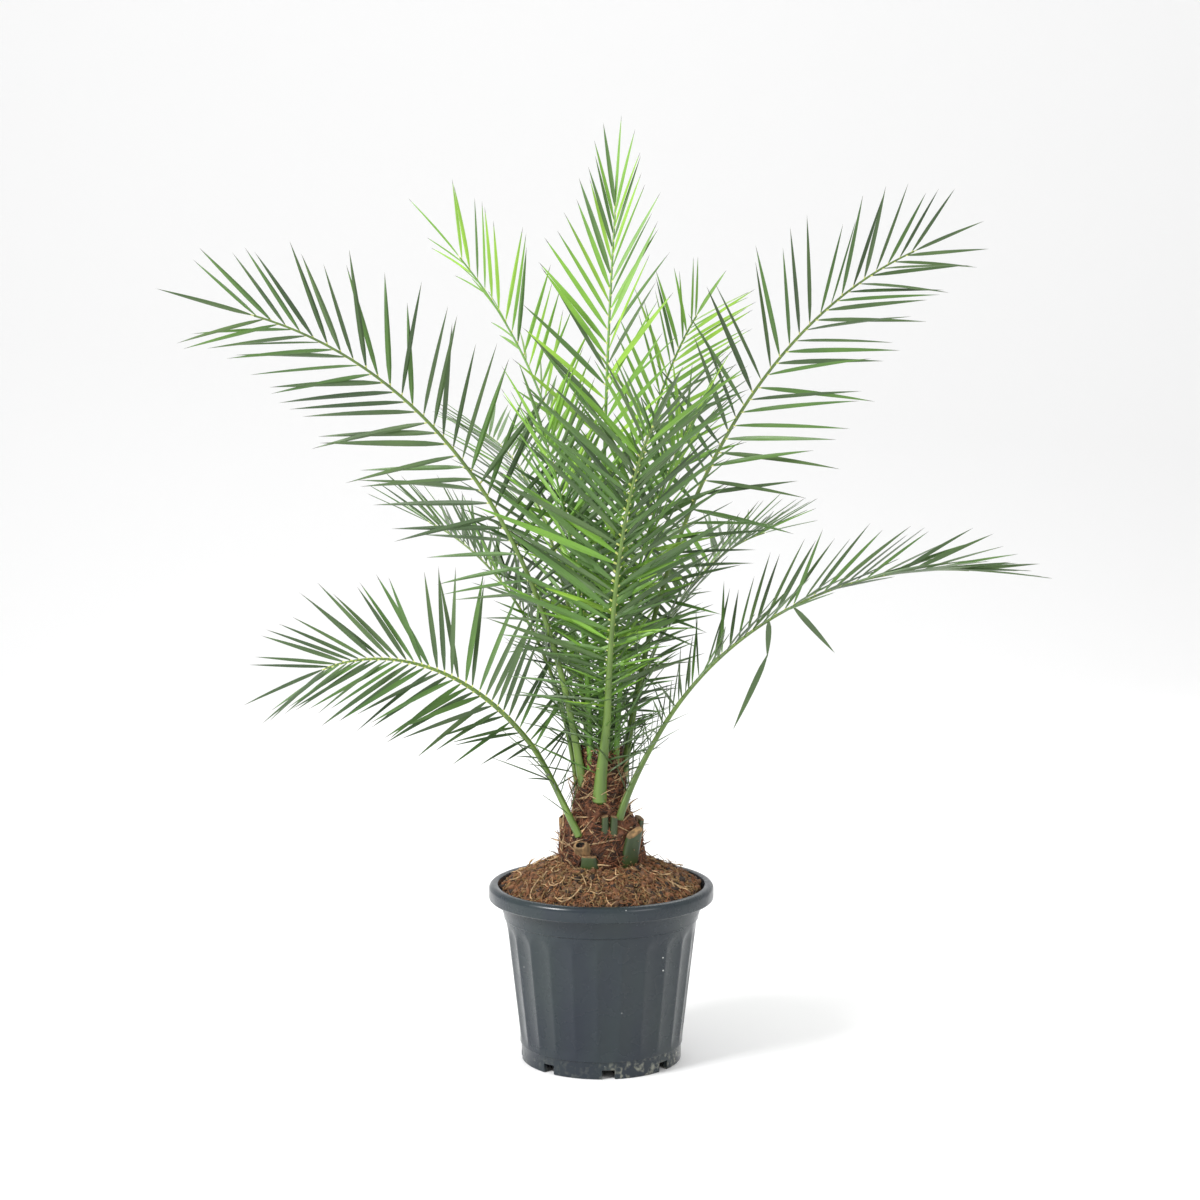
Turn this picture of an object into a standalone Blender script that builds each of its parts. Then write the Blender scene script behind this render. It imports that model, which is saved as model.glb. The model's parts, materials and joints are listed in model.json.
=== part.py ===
"""Potted Canary Island date palm: a nursery pot, its soil, a fibrous trunk and feathered fronds.

Metres, +Z up. The origin is the centre of the pot's flat underside. The front of the plant
faces -Y, so +X is on the right. Angles are whole degrees: a heading is measured round the
trunk from +X towards +Y, and a rise is measured up from level.

A frond's stalk, the rachis, is a path whose rise falls from `start` to `end` along its length.
Leaflets stand off it in two rows, as narrow folded blades that are widest near their foot.
"""

import math
from collections import namedtuple

import bmesh
import bpy
import numpy as np
from mathutils import Matrix
from mathutils.bvhtree import BVHTree

CLEARANCE = 0.0003

# Pot
RIM_RADIUS = 0.180
RIM_INNER_RADIUS = 0.165
POT_HEIGHT = 0.285
LIP_HEIGHT = 0.025
LIP_ROUNDING = 0.006
LIP_INNER_BEVEL = 0.003
COLLAR_TOP_RADIUS = 0.1625
COLLAR_FOOT_RADIUS = 0.1560
COLLAR_FOOT_HEIGHT = 0.2315
COLLAR_STEP = 0.0025
BODY_FOOT_RADIUS = 0.1303
BASE_RING_RADIUS = 0.1282
BASE_RING_HEIGHT = 0.027
BASE_RING_LEDGE = 0.001
BASE_RING_TAPER = 0.0005
BASE_RING_BEVEL = 0.001
POT_WALL = 0.003
FLOOR_UNDERSIDE = 0.010
FLOOR_TOP = 0.014
FLOOR_INNER_RADIUS = 0.1258
FOOT_RING_WIDTH = 0.008
STAND_DISC_RADIUS = 0.045
NOTCH_COUNT = 8
NOTCH_HEADING = -85
NOTCH_WIDTH = 0.020
NOTCH_HEIGHT = 0.015
NOTCH_DEPTH = 0.030
POT_SIDES = 40
POT_SMOOTH_ANGLE = 35

# Soil and trunk
SOIL_EDGE_HEIGHT = 0.271
SOIL_ROLL = (0.006, 0.008)
SOIL_SHOULDER = (0.130, 0.292)
SOIL_SLOPE = (0.095, 0.308)
SOIL_TOP_HEIGHT = 0.318
SEAT_ROOM = 0.006
SEAT_TAPER = 0.002
EARTH_SMOOTH_ANGLE = 40
TRUNK_FOOT_HEIGHT = 0.298
TRUNK_SIDES = 20
TRUNK_OUTLINE = (
    (0.058, TRUNK_FOOT_HEIGHT),
    (0.064, 0.318),
    (0.064, 0.345),
    (0.060, 0.375),
    (0.056, 0.400),
    (0.049, 0.430),
    (0.041, 0.450),
    (0.033, 0.462),
    (0.018, 0.470),
    (0.0, 0.472),
)
# The trunk's crown, where its outline is more level than upright
CROWN_HEIGHT = 0.460
# Cut leaf feet: heading, height, width, depth, length, outward lean
FRONT_STUBS = (
    (238, 0.350, 0.020, 0.012, 0.050, 8),
    (286, 0.378, 0.016, 0.012, 0.046, 8),
    (312, 0.352, 0.026, 0.016, 0.056, 14),
    (260, 0.344, 0.024, 0.014, 0.036, 10),
)
BACK_STUBS = (
    (350, 0.346, 0.022, 0.008, 0.040, 4),
    (18, 0.360, 0.022, 0.008, 0.044, 4),
    (48, 0.374, 0.022, 0.010, 0.044, 4),
    (78, 0.346, 0.024, 0.010, 0.044, 4),
    (110, 0.366, 0.022, 0.010, 0.044, 4),
    (140, 0.350, 0.022, 0.010, 0.044, 4),
    (174, 0.362, 0.022, 0.008, 0.040, 4),
)
STUB_FOOT_SHARE = 0.80
STUB_TOP_SHARE = 0.62
STUB_SUNK_SHARE = 0.3

# Fronds
Frond = namedtuple(
    "Frond",
    "foot_heading foot_radius foot_height heading sweep start end bend length roll leaflet spread width",
)
FRONDS = {
    "frond_left_high": Frond(207, 0.030, 0.440, 207, 0, 80, 15, 1.5, 0.97, 72, 0.20, 1.0, 0.020),
    "frond_right_high": Frond(12, 0.031, 0.440, 25, 0, 80, 22, 1.6, 1.06, 68, 0.20, 1.0, 0.020),
    "frond_right_low": Frond(350, 0.038, 0.400, 350, 0, 74, -3, 1.05, 0.72, 18, 0.17, 0.8, 0.017),
    "frond_left_low": Frond(180, 0.036, 0.385, 180, 0, 62, -22, 1.7, 0.52, -72, 0.19, 1.0, 0.017),
    "frond_centre": Frond(270, 0.002, 0.455, 72, 0, 90, 78, 1.6, 0.91, 0, 0.20, 0.80, 0.014),
    "frond_back_left": Frond(145, 0.024, 0.445, 88, 70, 88, 48, 1.1, 0.92, 20, 0.19, 0.9, 0.014),
    "frond_back_right": Frond(62, 0.024, 0.445, 60, 0, 87, 38, 1.6, 0.83, 0, 0.19, 0.9, 0.014),
    "frond_front": Frond(280, 0.036, 0.420, 284, 0, 86, 30, 1.7, 0.69, 0, 0.25, 1.0, 0.024),
    "frond_left_mid": Frond(160, 0.036, 0.425, 150, 0, 80, 20, 1.5, 0.54, 20, 0.18, 1.0, 0.016),
    "frond_right_mid": Frond(46, 0.037, 0.425, 42, 0, 78, 8, 1.5, 0.56, -10, 0.18, 1.0, 0.016),
    "frond_back_low": Frond(82, 0.042, 0.395, 84, 0, 70, -4, 1.2, 0.72, 10, 0.19, 1.0, 0.017),
    "frond_back_mid": Frond(112, 0.035, 0.425, 114, 0, 78, 8, 1.5, 0.78, 0, 0.20, 1.0, 0.017),
    "frond_front_right": Frond(326, 0.026, 0.440, 322, 0, 88, 58, 1.5, 0.60, 0, 0.19, 0.9, 0.014),
    "frond_front_left": Frond(232, 0.026, 0.440, 238, 0, 88, 60, 1.5, 0.58, 0, 0.19, 0.9, 0.014),
}
# Arching fronds are two nodes each, parted at this share of their length.
PARTED_AT = {
    "frond_left_high": 0.55,
    "frond_right_high": 0.55,
    "frond_right_low": 0.45,
    "frond_left_low": 0.50,
    "frond_back_low": 0.50,
}

# Stalk section: a triangle with its flat side up, wide at the foot and thin at the tip
STALK_TIP_WIDTH = 0.0035
STALK_SPREAD = 0.0055
STALK_FLARE_LENGTH = 0.060
STALK_DEPTH_SHARE = 0.75
LEAST_STALK_STEP = 0.01
ROLLED_BY = 0.5
STALK_STATIONS = 17
PATH_STEPS_PER_STATION = 10

# Leaflets
LEAFLET_PAIRS = 20
FIRST_LEAFLET = 0.14
LOW_ANGLE = 82
ANGLE_FALL = 52
ANGLE_BEND = 1.5
LIFT = 24
ANGLE_SCATTER = 4
LIFT_SCATTER = 10
LEAFLET_WIDTH_SHARE = 0.075
LEAFLET_FOLD_SHARE = 0.30
LEAFLET_THICKNESS_SHARE = 0.012
WIDEST_AT = 0.30
LENGTH_ALONG = ((0.0, 0.45), (0.15, 0.75), (0.45, 1.0), (0.80, 0.88), (1.0, 0.72))
END_LEAFLET_SHARE = 0.75
PART_MARGIN = 0.008
LENGTH_TRIES = (1.0, 0.85, 0.7, 0.55)
LIFT_TRIES = (0, 12, -12, 24, -24)
ROOM = 0.0010
# How deep a leaflet's root is sunk in its stalk, and that of the last one, which ends the stalk
ROOT_SUNK = 0.001
END_ROOT_SUNK = 0.010
# Two leaflets can't touch when their axes are further apart than this
REACH_LEAST = 0.019
REACH_SHARE = 0.045
AXIS_SAMPLES = 12
SEED = 7

COLOURS = {
    "pot": ((0.075, 0.090, 0.102), 0.42),
    "soil": ((0.085, 0.045, 0.025), 0.95),
    "trunk": ((0.150, 0.065, 0.030), 0.90),
    "frond": ((0.100, 0.210, 0.035), 0.50),
}


def clear_scene():
    """Removes whatever the scene holds."""
    for obj in list(bpy.data.objects):
        bpy.data.objects.remove(obj, do_unlink=True)


def new_collection(name):
    collection = bpy.data.collections.new(name)
    bpy.context.scene.collection.children.link(collection)
    return collection


def material(kind):
    """A Principled BSDF with the colour and roughness of this kind of piece."""
    found = bpy.data.materials.get(kind)
    if found:
        return found
    colour, roughness = COLOURS[kind]
    made = bpy.data.materials.new(kind)
    made.use_nodes = True
    shader = made.node_tree.nodes["Principled BSDF"]
    shader.inputs["Base Color"].default_value = (*colour, 1.0)
    shader.inputs["Roughness"].default_value = roughness
    shader.inputs["Metallic"].default_value = 0.0
    made.diffuse_color = (*colour, 1.0)
    return made


def new_object(name, mesh, collection, kind):
    obj = bpy.data.objects.new(name, mesh)
    collection.objects.link(obj)
    mesh.materials.append(material(kind))
    return obj


def apply_modifiers(obj):
    """Puts the evaluated mesh in place of the object's own."""
    graph = bpy.context.evaluated_depsgraph_get()
    graph.update()
    made = bpy.data.meshes.new_from_object(obj.evaluated_get(graph))
    obj.modifiers.clear()
    obj.data = made


def turned(name, outline, sides, collection, kind):
    """A solid of revolution round Z: the outline runs down its outer side from top to bottom."""
    mesh = bpy.data.meshes.new(name)
    edges = [(i, i + 1) for i in range(len(outline) - 1)]
    if outline[0][0] > 0:
        edges.append((len(outline) - 1, 0))
    mesh.from_pydata([(radius, 0.0, height) for radius, height in outline], edges, [])
    obj = new_object(name, mesh, collection, kind)
    screw = obj.modifiers.new("turn", "SCREW")
    screw.steps = sides
    screw.render_steps = sides
    screw.use_merge_vertices = True
    screw.merge_threshold = 0.00005
    screw.use_normal_calculate = True
    apply_modifiers(obj)
    return obj


def boolean(obj, others, operation, solver):
    """Joins or cuts obj with a whole collection at once, applies that and removes the collection."""
    modifier = obj.modifiers.new(operation.lower(), "BOOLEAN")
    modifier.operation = operation
    modifier.operand_type = "COLLECTION"
    modifier.collection = others
    modifier.solver = solver
    apply_modifiers(obj)
    for other in list(others.objects):
        bpy.data.objects.remove(other, do_unlink=True)
    bpy.data.collections.remove(others)


def smooth(obj, degrees):
    obj.data.shade_smooth()
    obj.data.set_sharp_from_angle(angle=math.radians(degrees))


# Pot


def pot_inner_radius(height):
    """The inside of the pot's wall: straight from the floor to the collar, and wider to the rim."""
    return float(
        np.interp(
            height,
            (FLOOR_TOP, COLLAR_FOOT_HEIGHT, POT_HEIGHT - LIP_HEIGHT, POT_HEIGHT),
            (
                FLOOR_INNER_RADIUS,
                COLLAR_FOOT_RADIUS - COLLAR_STEP - POT_WALL,
                COLLAR_TOP_RADIUS - POT_WALL,
                RIM_INNER_RADIUS,
            ),
        )
    )


def lip_outline():
    """The rolled rim: a flat top with a round shoulder and a round lower edge."""
    low = POT_HEIGHT - LIP_HEIGHT
    points = [(RIM_INNER_RADIUS + LIP_INNER_BEVEL, POT_HEIGHT)]
    for degrees in (90, 60, 30, 0):
        turn = math.radians(degrees)
        points.append(
            (
                RIM_RADIUS - LIP_ROUNDING * (1 - math.cos(turn)),
                POT_HEIGHT - LIP_ROUNDING * (1 - math.sin(turn)),
            )
        )
    half = LIP_ROUNDING / 2
    for degrees in (0, -45, -90):
        turn = math.radians(degrees)
        points.append(
            (RIM_RADIUS - half * (1 - math.cos(turn)), low + half * (1 + math.sin(turn)))
        )
    return points


def make_pot(collection):
    low_lip = POT_HEIGHT - LIP_HEIGHT
    ring_inner = BASE_RING_RADIUS - FOOT_RING_WIDTH
    outline = lip_outline() + [
        (COLLAR_TOP_RADIUS, low_lip),
        (COLLAR_FOOT_RADIUS, COLLAR_FOOT_HEIGHT),
        (COLLAR_FOOT_RADIUS - COLLAR_STEP, COLLAR_FOOT_HEIGHT - COLLAR_STEP),
        (BODY_FOOT_RADIUS, BASE_RING_HEIGHT + BASE_RING_LEDGE),
        (BASE_RING_RADIUS, BASE_RING_HEIGHT),
        (BASE_RING_RADIUS - BASE_RING_TAPER, BASE_RING_BEVEL),
        (BASE_RING_RADIUS - BASE_RING_TAPER - BASE_RING_BEVEL, 0.0),
        (ring_inner, 0.0),
        (ring_inner, FLOOR_UNDERSIDE),
        (STAND_DISC_RADIUS, FLOOR_UNDERSIDE),
        (STAND_DISC_RADIUS, 0.0),
        (0.0, 0.0),
        (0.0, FLOOR_TOP),
        (pot_inner_radius(FLOOR_TOP), FLOOR_TOP),
        (pot_inner_radius(COLLAR_FOOT_HEIGHT), COLLAR_FOOT_HEIGHT),
        (pot_inner_radius(low_lip), low_lip),
        (RIM_INNER_RADIUS, POT_HEIGHT - LIP_INNER_BEVEL),
    ]
    pot = turned("pot", outline, POT_SIDES, collection, "pot")
    notches = new_collection("notches")
    for i in range(NOTCH_COUNT):
        turn = math.radians(NOTCH_HEADING + 360 * i / NOTCH_COUNT)
        mesh = bpy.data.meshes.new("notch")
        shape = bmesh.new()
        bmesh.ops.create_cube(shape, size=1.0)
        bmesh.ops.scale(shape, verts=shape.verts, vec=(NOTCH_DEPTH, NOTCH_WIDTH, 2 * NOTCH_HEIGHT))
        bmesh.ops.translate(shape, verts=shape.verts, vec=(BASE_RING_RADIUS, 0, 0))
        bmesh.ops.rotate(shape, verts=shape.verts, matrix=Matrix.Rotation(turn, 3, "Z"))
        shape.to_mesh(mesh)
        shape.free()
        notches.objects.link(bpy.data.objects.new("notch", mesh))
    boolean(pot, notches, "DIFFERENCE", "EXACT")
    smooth(pot, POT_SMOOTH_ANGLE)
    return pot


# Soil and trunk


def make_soil(collection):
    """Soil that fills the pot and heaps up to the trunk, whose foot sits in a round seat."""
    seat_radius = TRUNK_OUTLINE[0][0] + SEAT_ROOM + CLEARANCE
    low = FLOOR_TOP + CLEARANCE
    edge = pot_inner_radius(SOIL_EDGE_HEIGHT) - CLEARANCE
    outline = [
        (0.0, TRUNK_FOOT_HEIGHT - CLEARANCE),
        (seat_radius, TRUNK_FOOT_HEIGHT - CLEARANCE),
        (seat_radius + SEAT_TAPER, SOIL_TOP_HEIGHT),
        SOIL_SLOPE,
        SOIL_SHOULDER,
        (edge - SOIL_ROLL[0], SOIL_EDGE_HEIGHT + SOIL_ROLL[1]),
        (edge, SOIL_EDGE_HEIGHT),
        (pot_inner_radius(COLLAR_FOOT_HEIGHT) - CLEARANCE, COLLAR_FOOT_HEIGHT),
        (pot_inner_radius(low) - CLEARANCE, low),
        (0.0, low),
    ]
    soil = turned("soil", outline, POT_SIDES, collection, "soil")
    smooth(soil, EARTH_SMOOTH_ANGLE)
    return soil


def stub(heading, height, width, depth, length, lean, collection):
    """The cut foot of an old frond: a wedge sunk in the trunk that leans outwards."""
    mesh = bpy.data.meshes.new("stub")
    shape = bmesh.new()
    bmesh.ops.create_cone(
        shape,
        cap_ends=True,
        segments=4,
        radius1=width * STUB_FOOT_SHARE,
        radius2=width * STUB_TOP_SHARE,
        depth=length,
        matrix=Matrix.Rotation(math.radians(45), 4, "Z"),
    )
    bmesh.ops.scale(shape, verts=shape.verts, vec=(depth / width, 1.0, 1.0))
    place = (
        Matrix.Rotation(math.radians(heading), 4, "Z")
        @ Matrix.Translation((trunk_radius(height) - STUB_SUNK_SHARE * depth, 0, height))
        @ Matrix.Rotation(math.radians(lean), 4, "Y")
    )
    bmesh.ops.transform(shape, verts=shape.verts, matrix=place)
    shape.to_mesh(mesh)
    shape.free()
    collection.objects.link(bpy.data.objects.new("stub", mesh))


def trunk_radius(height):
    heights = [point[1] for point in TRUNK_OUTLINE]
    radii = [point[0] for point in TRUNK_OUTLINE]
    return float(np.interp(height, heights, radii))


def make_trunk(collection):
    outline = [*reversed(TRUNK_OUTLINE), (0.0, TRUNK_FOOT_HEIGHT)]
    trunk = turned("trunk", outline, TRUNK_SIDES, collection, "trunk")
    stubs = new_collection("stubs")
    for place in FRONT_STUBS + BACK_STUBS:
        stub(*place, stubs)
    boolean(trunk, stubs, "UNION", "EXACT")
    smooth(trunk, EARTH_SMOOTH_ANGLE)
    return trunk


def trunk_cutter():
    """The bare trunk, larger all over by the clearance, which the stalks' feet are cut by."""
    outline = []
    for radius, height in reversed(TRUNK_OUTLINE):
        outwards = CLEARANCE if radius > 0 else 0.0
        upwards = CLEARANCE if height > CROWN_HEIGHT else 0.0
        outline.append((radius + outwards, height + upwards))
    outline.append((0.0, TRUNK_FOOT_HEIGHT))
    cutters = new_collection("cutters")
    turned("trunk_room", outline, TRUNK_SIDES, cutters, "trunk")
    return cutters


# Fronds


def ease(share):
    share = np.clip(share, 0.0, 1.0)
    return share * share * (3 - 2 * share)


def stalk_path(frond):
    """Shares of the length, points, and the frames along it: forwards, to the left side, and up.

    The rise falls from start to end as a power of the share of the length, the heading turns
    evenly by the sweep, and the frame rolls about the stalk over its first half. The path is
    summed in fine steps, and then kept at the stalk's stations alone.
    """
    steps = (STALK_STATIONS - 1) * PATH_STEPS_PER_STATION + 1
    share = np.linspace(0.0, 1.0, steps)
    rise = np.radians(frond.start + (frond.end - frond.start) * share**frond.bend)
    heading = np.radians(frond.heading + frond.sweep * share)
    forward = np.stack(
        (np.cos(rise) * np.cos(heading), np.cos(rise) * np.sin(heading), np.sin(rise)), axis=1
    )
    level = np.stack((-np.sin(heading), np.cos(heading), np.zeros(steps)), axis=1)
    above = np.cross(forward, level)
    roll = (np.radians(frond.roll) * ease(share / ROLLED_BY))[:, None]
    side = np.cos(roll) * level + np.sin(roll) * above
    up = np.cos(roll) * above - np.sin(roll) * level
    moves = (forward[1:] + forward[:-1]) / 2 * frond.length / (steps - 1)
    foot_heading = math.radians(frond.foot_heading)
    foot = (
        frond.foot_radius * math.cos(foot_heading),
        frond.foot_radius * math.sin(foot_heading),
        frond.foot_height,
    )
    points = np.concatenate((np.zeros((1, 3)), np.cumsum(moves, axis=0))) + foot
    return [part[::PATH_STEPS_PER_STATION] for part in (share, points, forward, side, up)]


def at_share(path, wanted):
    """Point and frame at a share of the stalk's length, as unit vectors."""
    share = path[0]
    found = [np.array([np.interp(wanted, share, column) for column in part.T]) for part in path[1:]]
    return [found[0]] + [vector / np.linalg.norm(vector) for vector in found[1:]]


def stalk_width(frond, share):
    """Width that falls along the stalk, with a flare that dies out above its foot."""
    flare = frond.width - STALK_TIP_WIDTH - STALK_SPREAD
    return (
        STALK_TIP_WIDTH
        + STALK_SPREAD * (1 - share)
        + flare * math.exp(-share * frond.length / STALK_FLARE_LENGTH)
    )


def stalk_mesh(name, frond, path, first, last):
    """A three-sided stalk between two shares of the length, with flat ends across it."""
    shape = bmesh.new()
    rings = []
    step = LEAST_STALK_STEP
    inner = [share for share in path[0] if first + step < share < last - step]
    for share in (first, *inner, last):
        point, _, side, up = at_share(path, share)
        width = stalk_width(frond, share)
        depth = STALK_DEPTH_SHARE * width
        corners = (
            point - side * width / 2 + up * depth / 3,
            point + side * width / 2 + up * depth / 3,
            point - up * depth * 2 / 3,
        )
        rings.append([shape.verts.new(corner) for corner in corners])
    for low, high in zip(rings, rings[1:]):
        for i in range(3):
            j = (i + 1) % 3
            shape.faces.new((low[i], low[j], high[j], high[i]))
    shape.faces.new(reversed(rings[0]))
    shape.faces.new(rings[-1])
    bmesh.ops.recalc_face_normals(shape, faces=shape.faces)
    mesh = bpy.data.meshes.new(name)
    shape.to_mesh(mesh)
    shape.free()
    return mesh


def leaflet_corners(root, direction, blade_up, length, extra=0.0):
    """The six corners of a folded leaflet: its root, two edges, the fold above and below, its tip.

    The widest section lies at a set share of the length, and its edges are lifted above the fold.
    """
    across = np.cross(direction, blade_up)
    across /= np.linalg.norm(across)
    lift = np.cross(across, direction)
    half = LEAFLET_WIDTH_SHARE * length / 2 + extra
    thick = LEAFLET_THICKNESS_SHARE * length / 2 + extra
    fold = LEAFLET_FOLD_SHARE * half
    widest = root + direction * length * WIDEST_AT
    return [
        root - direction * extra,
        widest - across * half + lift * fold,
        widest + lift * thick,
        widest + across * half + lift * fold,
        widest - lift * thick,
        root + direction * (length + extra),
    ]


LEAFLET_FACES = (
    (0, 1, 2),
    (0, 2, 3),
    (0, 3, 4),
    (0, 4, 1),
    (5, 2, 1),
    (5, 3, 2),
    (5, 4, 3),
    (5, 1, 4),
)


def leaflet_tree(corners):
    """The leaflet's faces, ready for overlap tests."""
    return BVHTree.FromPolygons([tuple(c) for c in corners], LEAFLET_FACES)


def object_tree(obj):
    """The object's faces, ready for overlap tests."""
    return BVHTree.FromPolygons(
        [tuple(v.co) for v in obj.data.vertices], [tuple(p.vertices) for p in obj.data.polygons]
    )


class Room:
    """What already fills the crown: solid pieces by node, and the leaflets that were accepted."""

    def __init__(self):
        self.solids = {}
        self.owners = []
        self.roots = np.zeros((0, 3))
        self.tips = np.zeros((0, 3))
        self.trees = []

    def add_leaflet(self, owner, corners):
        self.owners.append(owner)
        self.roots = np.vstack((self.roots, corners[0]))
        self.tips = np.vstack((self.tips, corners[5]))
        self.trees.append(leaflet_tree(corners))

    def near(self, corners, reach):
        """Numbers of the leaflets whose axis passes within reach of this one's, tested at points."""
        if not self.owners:
            return ()
        axis = corners[5] - corners[0]
        samples = corners[0] + np.linspace(0.0, 1.0, AXIS_SAMPLES)[:, None] * axis
        along = self.tips - self.roots
        offset = samples[:, None, :] - self.roots[None]
        share = np.clip((offset * along).sum(2) / (along * along).sum(1), 0.0, 1.0)
        gap = np.linalg.norm(offset - share[:, :, None] * along, axis=2).min(axis=0)
        return np.nonzero(gap < reach)[0]

    def is_clear(self, owner, corners):
        """Whether the leaflet touches nothing that another node owns."""
        tree = leaflet_tree(corners)
        for name, solid in self.solids.items():
            if name != owner and tree.overlap(solid):
                return False
        length = np.linalg.norm(corners[5] - corners[0])
        for number in self.near(corners, REACH_LEAST + REACH_SHARE * length):
            if self.owners[number] != owner and tree.overlap(self.trees[number]):
                return False
        return True


def leaflet_places(frond, rng):
    """Each leaflet of the rule: its share of the stalk, side, angle off the stalk, lift and length."""
    along, sizes = zip(*LENGTH_ALONG)
    for i in range(LEAFLET_PAIRS):
        for side in (-1, 1):
            place = (i + 0.5 + 0.25 * side) / LEAFLET_PAIRS
            angle = frond.spread * (LOW_ANGLE - ANGLE_FALL * place**ANGLE_BEND)
            angle += rng.uniform(-ANGLE_SCATTER, ANGLE_SCATTER)
            lift = LIFT + rng.uniform(-LIFT_SCATTER, LIFT_SCATTER)
            length = frond.leaflet * float(np.interp(place, along, sizes))
            yield FIRST_LEAFLET + (1 - FIRST_LEAFLET) * place, side, angle, lift, length
    yield 1.0, 0, 0.0, 0.0, frond.leaflet * END_LEAFLET_SHARE


def leaflet_at(path, share, side, angle, lift, length, extra):
    """Corners of one leaflet, whose root is sunk through the middle of the stalk."""
    point, forward, sideways, up = at_share(path, share)
    angle = math.radians(angle)
    lift = math.radians(lift)
    outwards = math.cos(lift) * side * sideways + math.sin(lift) * up
    direction = math.cos(angle) * forward + math.sin(angle) * outwards
    if side == 0:
        direction = forward
    blade_up = up if side == 0 else math.cos(lift) * up - math.sin(lift) * side * sideways
    sunk = ROOT_SUNK if side else END_ROOT_SUNK
    return leaflet_corners(point - direction * sunk, direction, blade_up, length, extra)


def grow_leaflets(name, frond, path, limits, room, rng):
    """Takes each leaflet of the rule that finds room, shorter or lifted where it has to be."""
    found = {node: [] for node in limits}
    for share, side, angle, lift, length in leaflet_places(frond, rng):
        node = next((n for n, (first, last) in limits.items() if first <= share <= last), None)
        if node is None:
            continue
        for scale in LENGTH_TRIES:
            turn = next(
                (
                    turn
                    for turn in LIFT_TRIES
                    if room.is_clear(
                        node, leaflet_at(path, share, side, angle, lift + turn, length * scale, ROOM)
                    )
                ),
                None,
            )
            if turn is not None:
                corners = leaflet_at(path, share, side, angle, lift + turn, length * scale, 0.0)
                room.add_leaflet(node, corners)
                found[node].append(corners)
                break
    return found


def join_leaflets(stalk, leaflets):
    """One union of the stalk with all its leaflets."""
    collection = new_collection("leaflets")
    for corners in leaflets:
        mesh = bpy.data.meshes.new("leaflet")
        mesh.from_pydata([tuple(c) for c in corners], [], LEAFLET_FACES)
        shape = bmesh.new()
        shape.from_mesh(mesh)
        bmesh.ops.recalc_face_normals(shape, faces=shape.faces)
        shape.to_mesh(mesh)
        shape.free()
        collection.objects.link(bpy.data.objects.new("leaflet", mesh))
    boolean(stalk, collection, "UNION", "MANIFOLD")


def node_limits(name, frond):
    """The nodes of a frond, and the shares of its stalk between which each has its leaflets."""
    if name not in PARTED_AT:
        return {name: (0.0, 1.0)}
    middle = PARTED_AT[name]
    margin = PART_MARGIN / frond.length
    return {name + "_near": (0.0, middle - margin), name + "_far": (middle + margin, 1.0)}


def make_stalks(collection, room):
    """Every stalk, with its foot cut clear of the trunk."""
    stalks = {}
    for name, frond in FRONDS.items():
        path = stalk_path(frond)
        middle = PARTED_AT.get(name, 1.0)
        gap = CLEARANCE / 2 / frond.length
        for node in node_limits(name, frond):
            first, last = (middle + gap, 1.0) if node.endswith("_far") else (0.0, middle)
            if node.endswith("_near"):
                last = middle - gap
            mesh = stalk_mesh(node, frond, path, first, last)
            obj = new_object(node, mesh, collection, "frond")
            if first == 0.0:
                boolean(obj, trunk_cutter(), "DIFFERENCE", "EXACT")
            room.solids[node] = object_tree(obj)
            stalks[node] = obj
    return stalks


def make_fronds(collection, room):
    stalks = make_stalks(collection, room)
    rng = np.random.default_rng(SEED)
    for name, frond in FRONDS.items():
        found = grow_leaflets(name, frond, stalk_path(frond), node_limits(name, frond), room, rng)
        for node, leaflets in found.items():
            join_leaflets(stalks[node], leaflets)
            stalks[node].data.shade_flat()


def main():
    clear_scene()
    palm = new_collection("potted_palm")
    room = Room()
    for piece in (make_pot(palm), make_soil(palm), make_trunk(palm)):
        room.solids[piece.name] = object_tree(piece)
    make_fronds(palm, room)


main()
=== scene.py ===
"""Dressing of a potted Canary Island date palm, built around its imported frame.

Metres, +Z up, and the front of the plant faces -Y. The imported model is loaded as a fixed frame. Each
surface is worked out with numpy as whole arrays: rings of points carried along a path, or turned
round the Z axis, and closed by a fan of triangles at both ends. Leaflets stand off each stalk by one
rule: their angle off the stalk falls along it, and their length rises and then falls.
"""

import json
import math
from collections import namedtuple

import bpy
import numpy as np
from bpy.props import FloatProperty, FloatVectorProperty, IntProperty, PointerProperty
from bpy.types import Operator, Panel, PropertyGroup
from mathutils import Euler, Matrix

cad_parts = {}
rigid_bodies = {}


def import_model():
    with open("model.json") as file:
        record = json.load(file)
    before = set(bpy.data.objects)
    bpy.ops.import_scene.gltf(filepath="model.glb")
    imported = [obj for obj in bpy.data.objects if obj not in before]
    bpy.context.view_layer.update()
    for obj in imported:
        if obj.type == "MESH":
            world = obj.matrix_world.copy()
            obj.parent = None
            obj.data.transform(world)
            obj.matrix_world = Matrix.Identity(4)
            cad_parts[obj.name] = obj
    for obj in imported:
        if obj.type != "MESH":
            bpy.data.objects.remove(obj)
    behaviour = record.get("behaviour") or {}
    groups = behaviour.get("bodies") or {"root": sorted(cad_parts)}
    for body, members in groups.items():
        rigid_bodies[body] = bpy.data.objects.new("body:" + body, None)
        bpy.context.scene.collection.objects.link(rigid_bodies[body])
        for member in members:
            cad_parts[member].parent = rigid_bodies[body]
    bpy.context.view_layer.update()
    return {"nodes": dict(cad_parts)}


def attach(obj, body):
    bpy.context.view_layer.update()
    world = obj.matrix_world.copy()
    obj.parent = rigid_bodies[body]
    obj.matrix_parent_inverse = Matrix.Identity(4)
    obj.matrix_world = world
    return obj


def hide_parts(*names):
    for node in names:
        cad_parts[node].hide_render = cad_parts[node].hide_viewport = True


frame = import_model()

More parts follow.
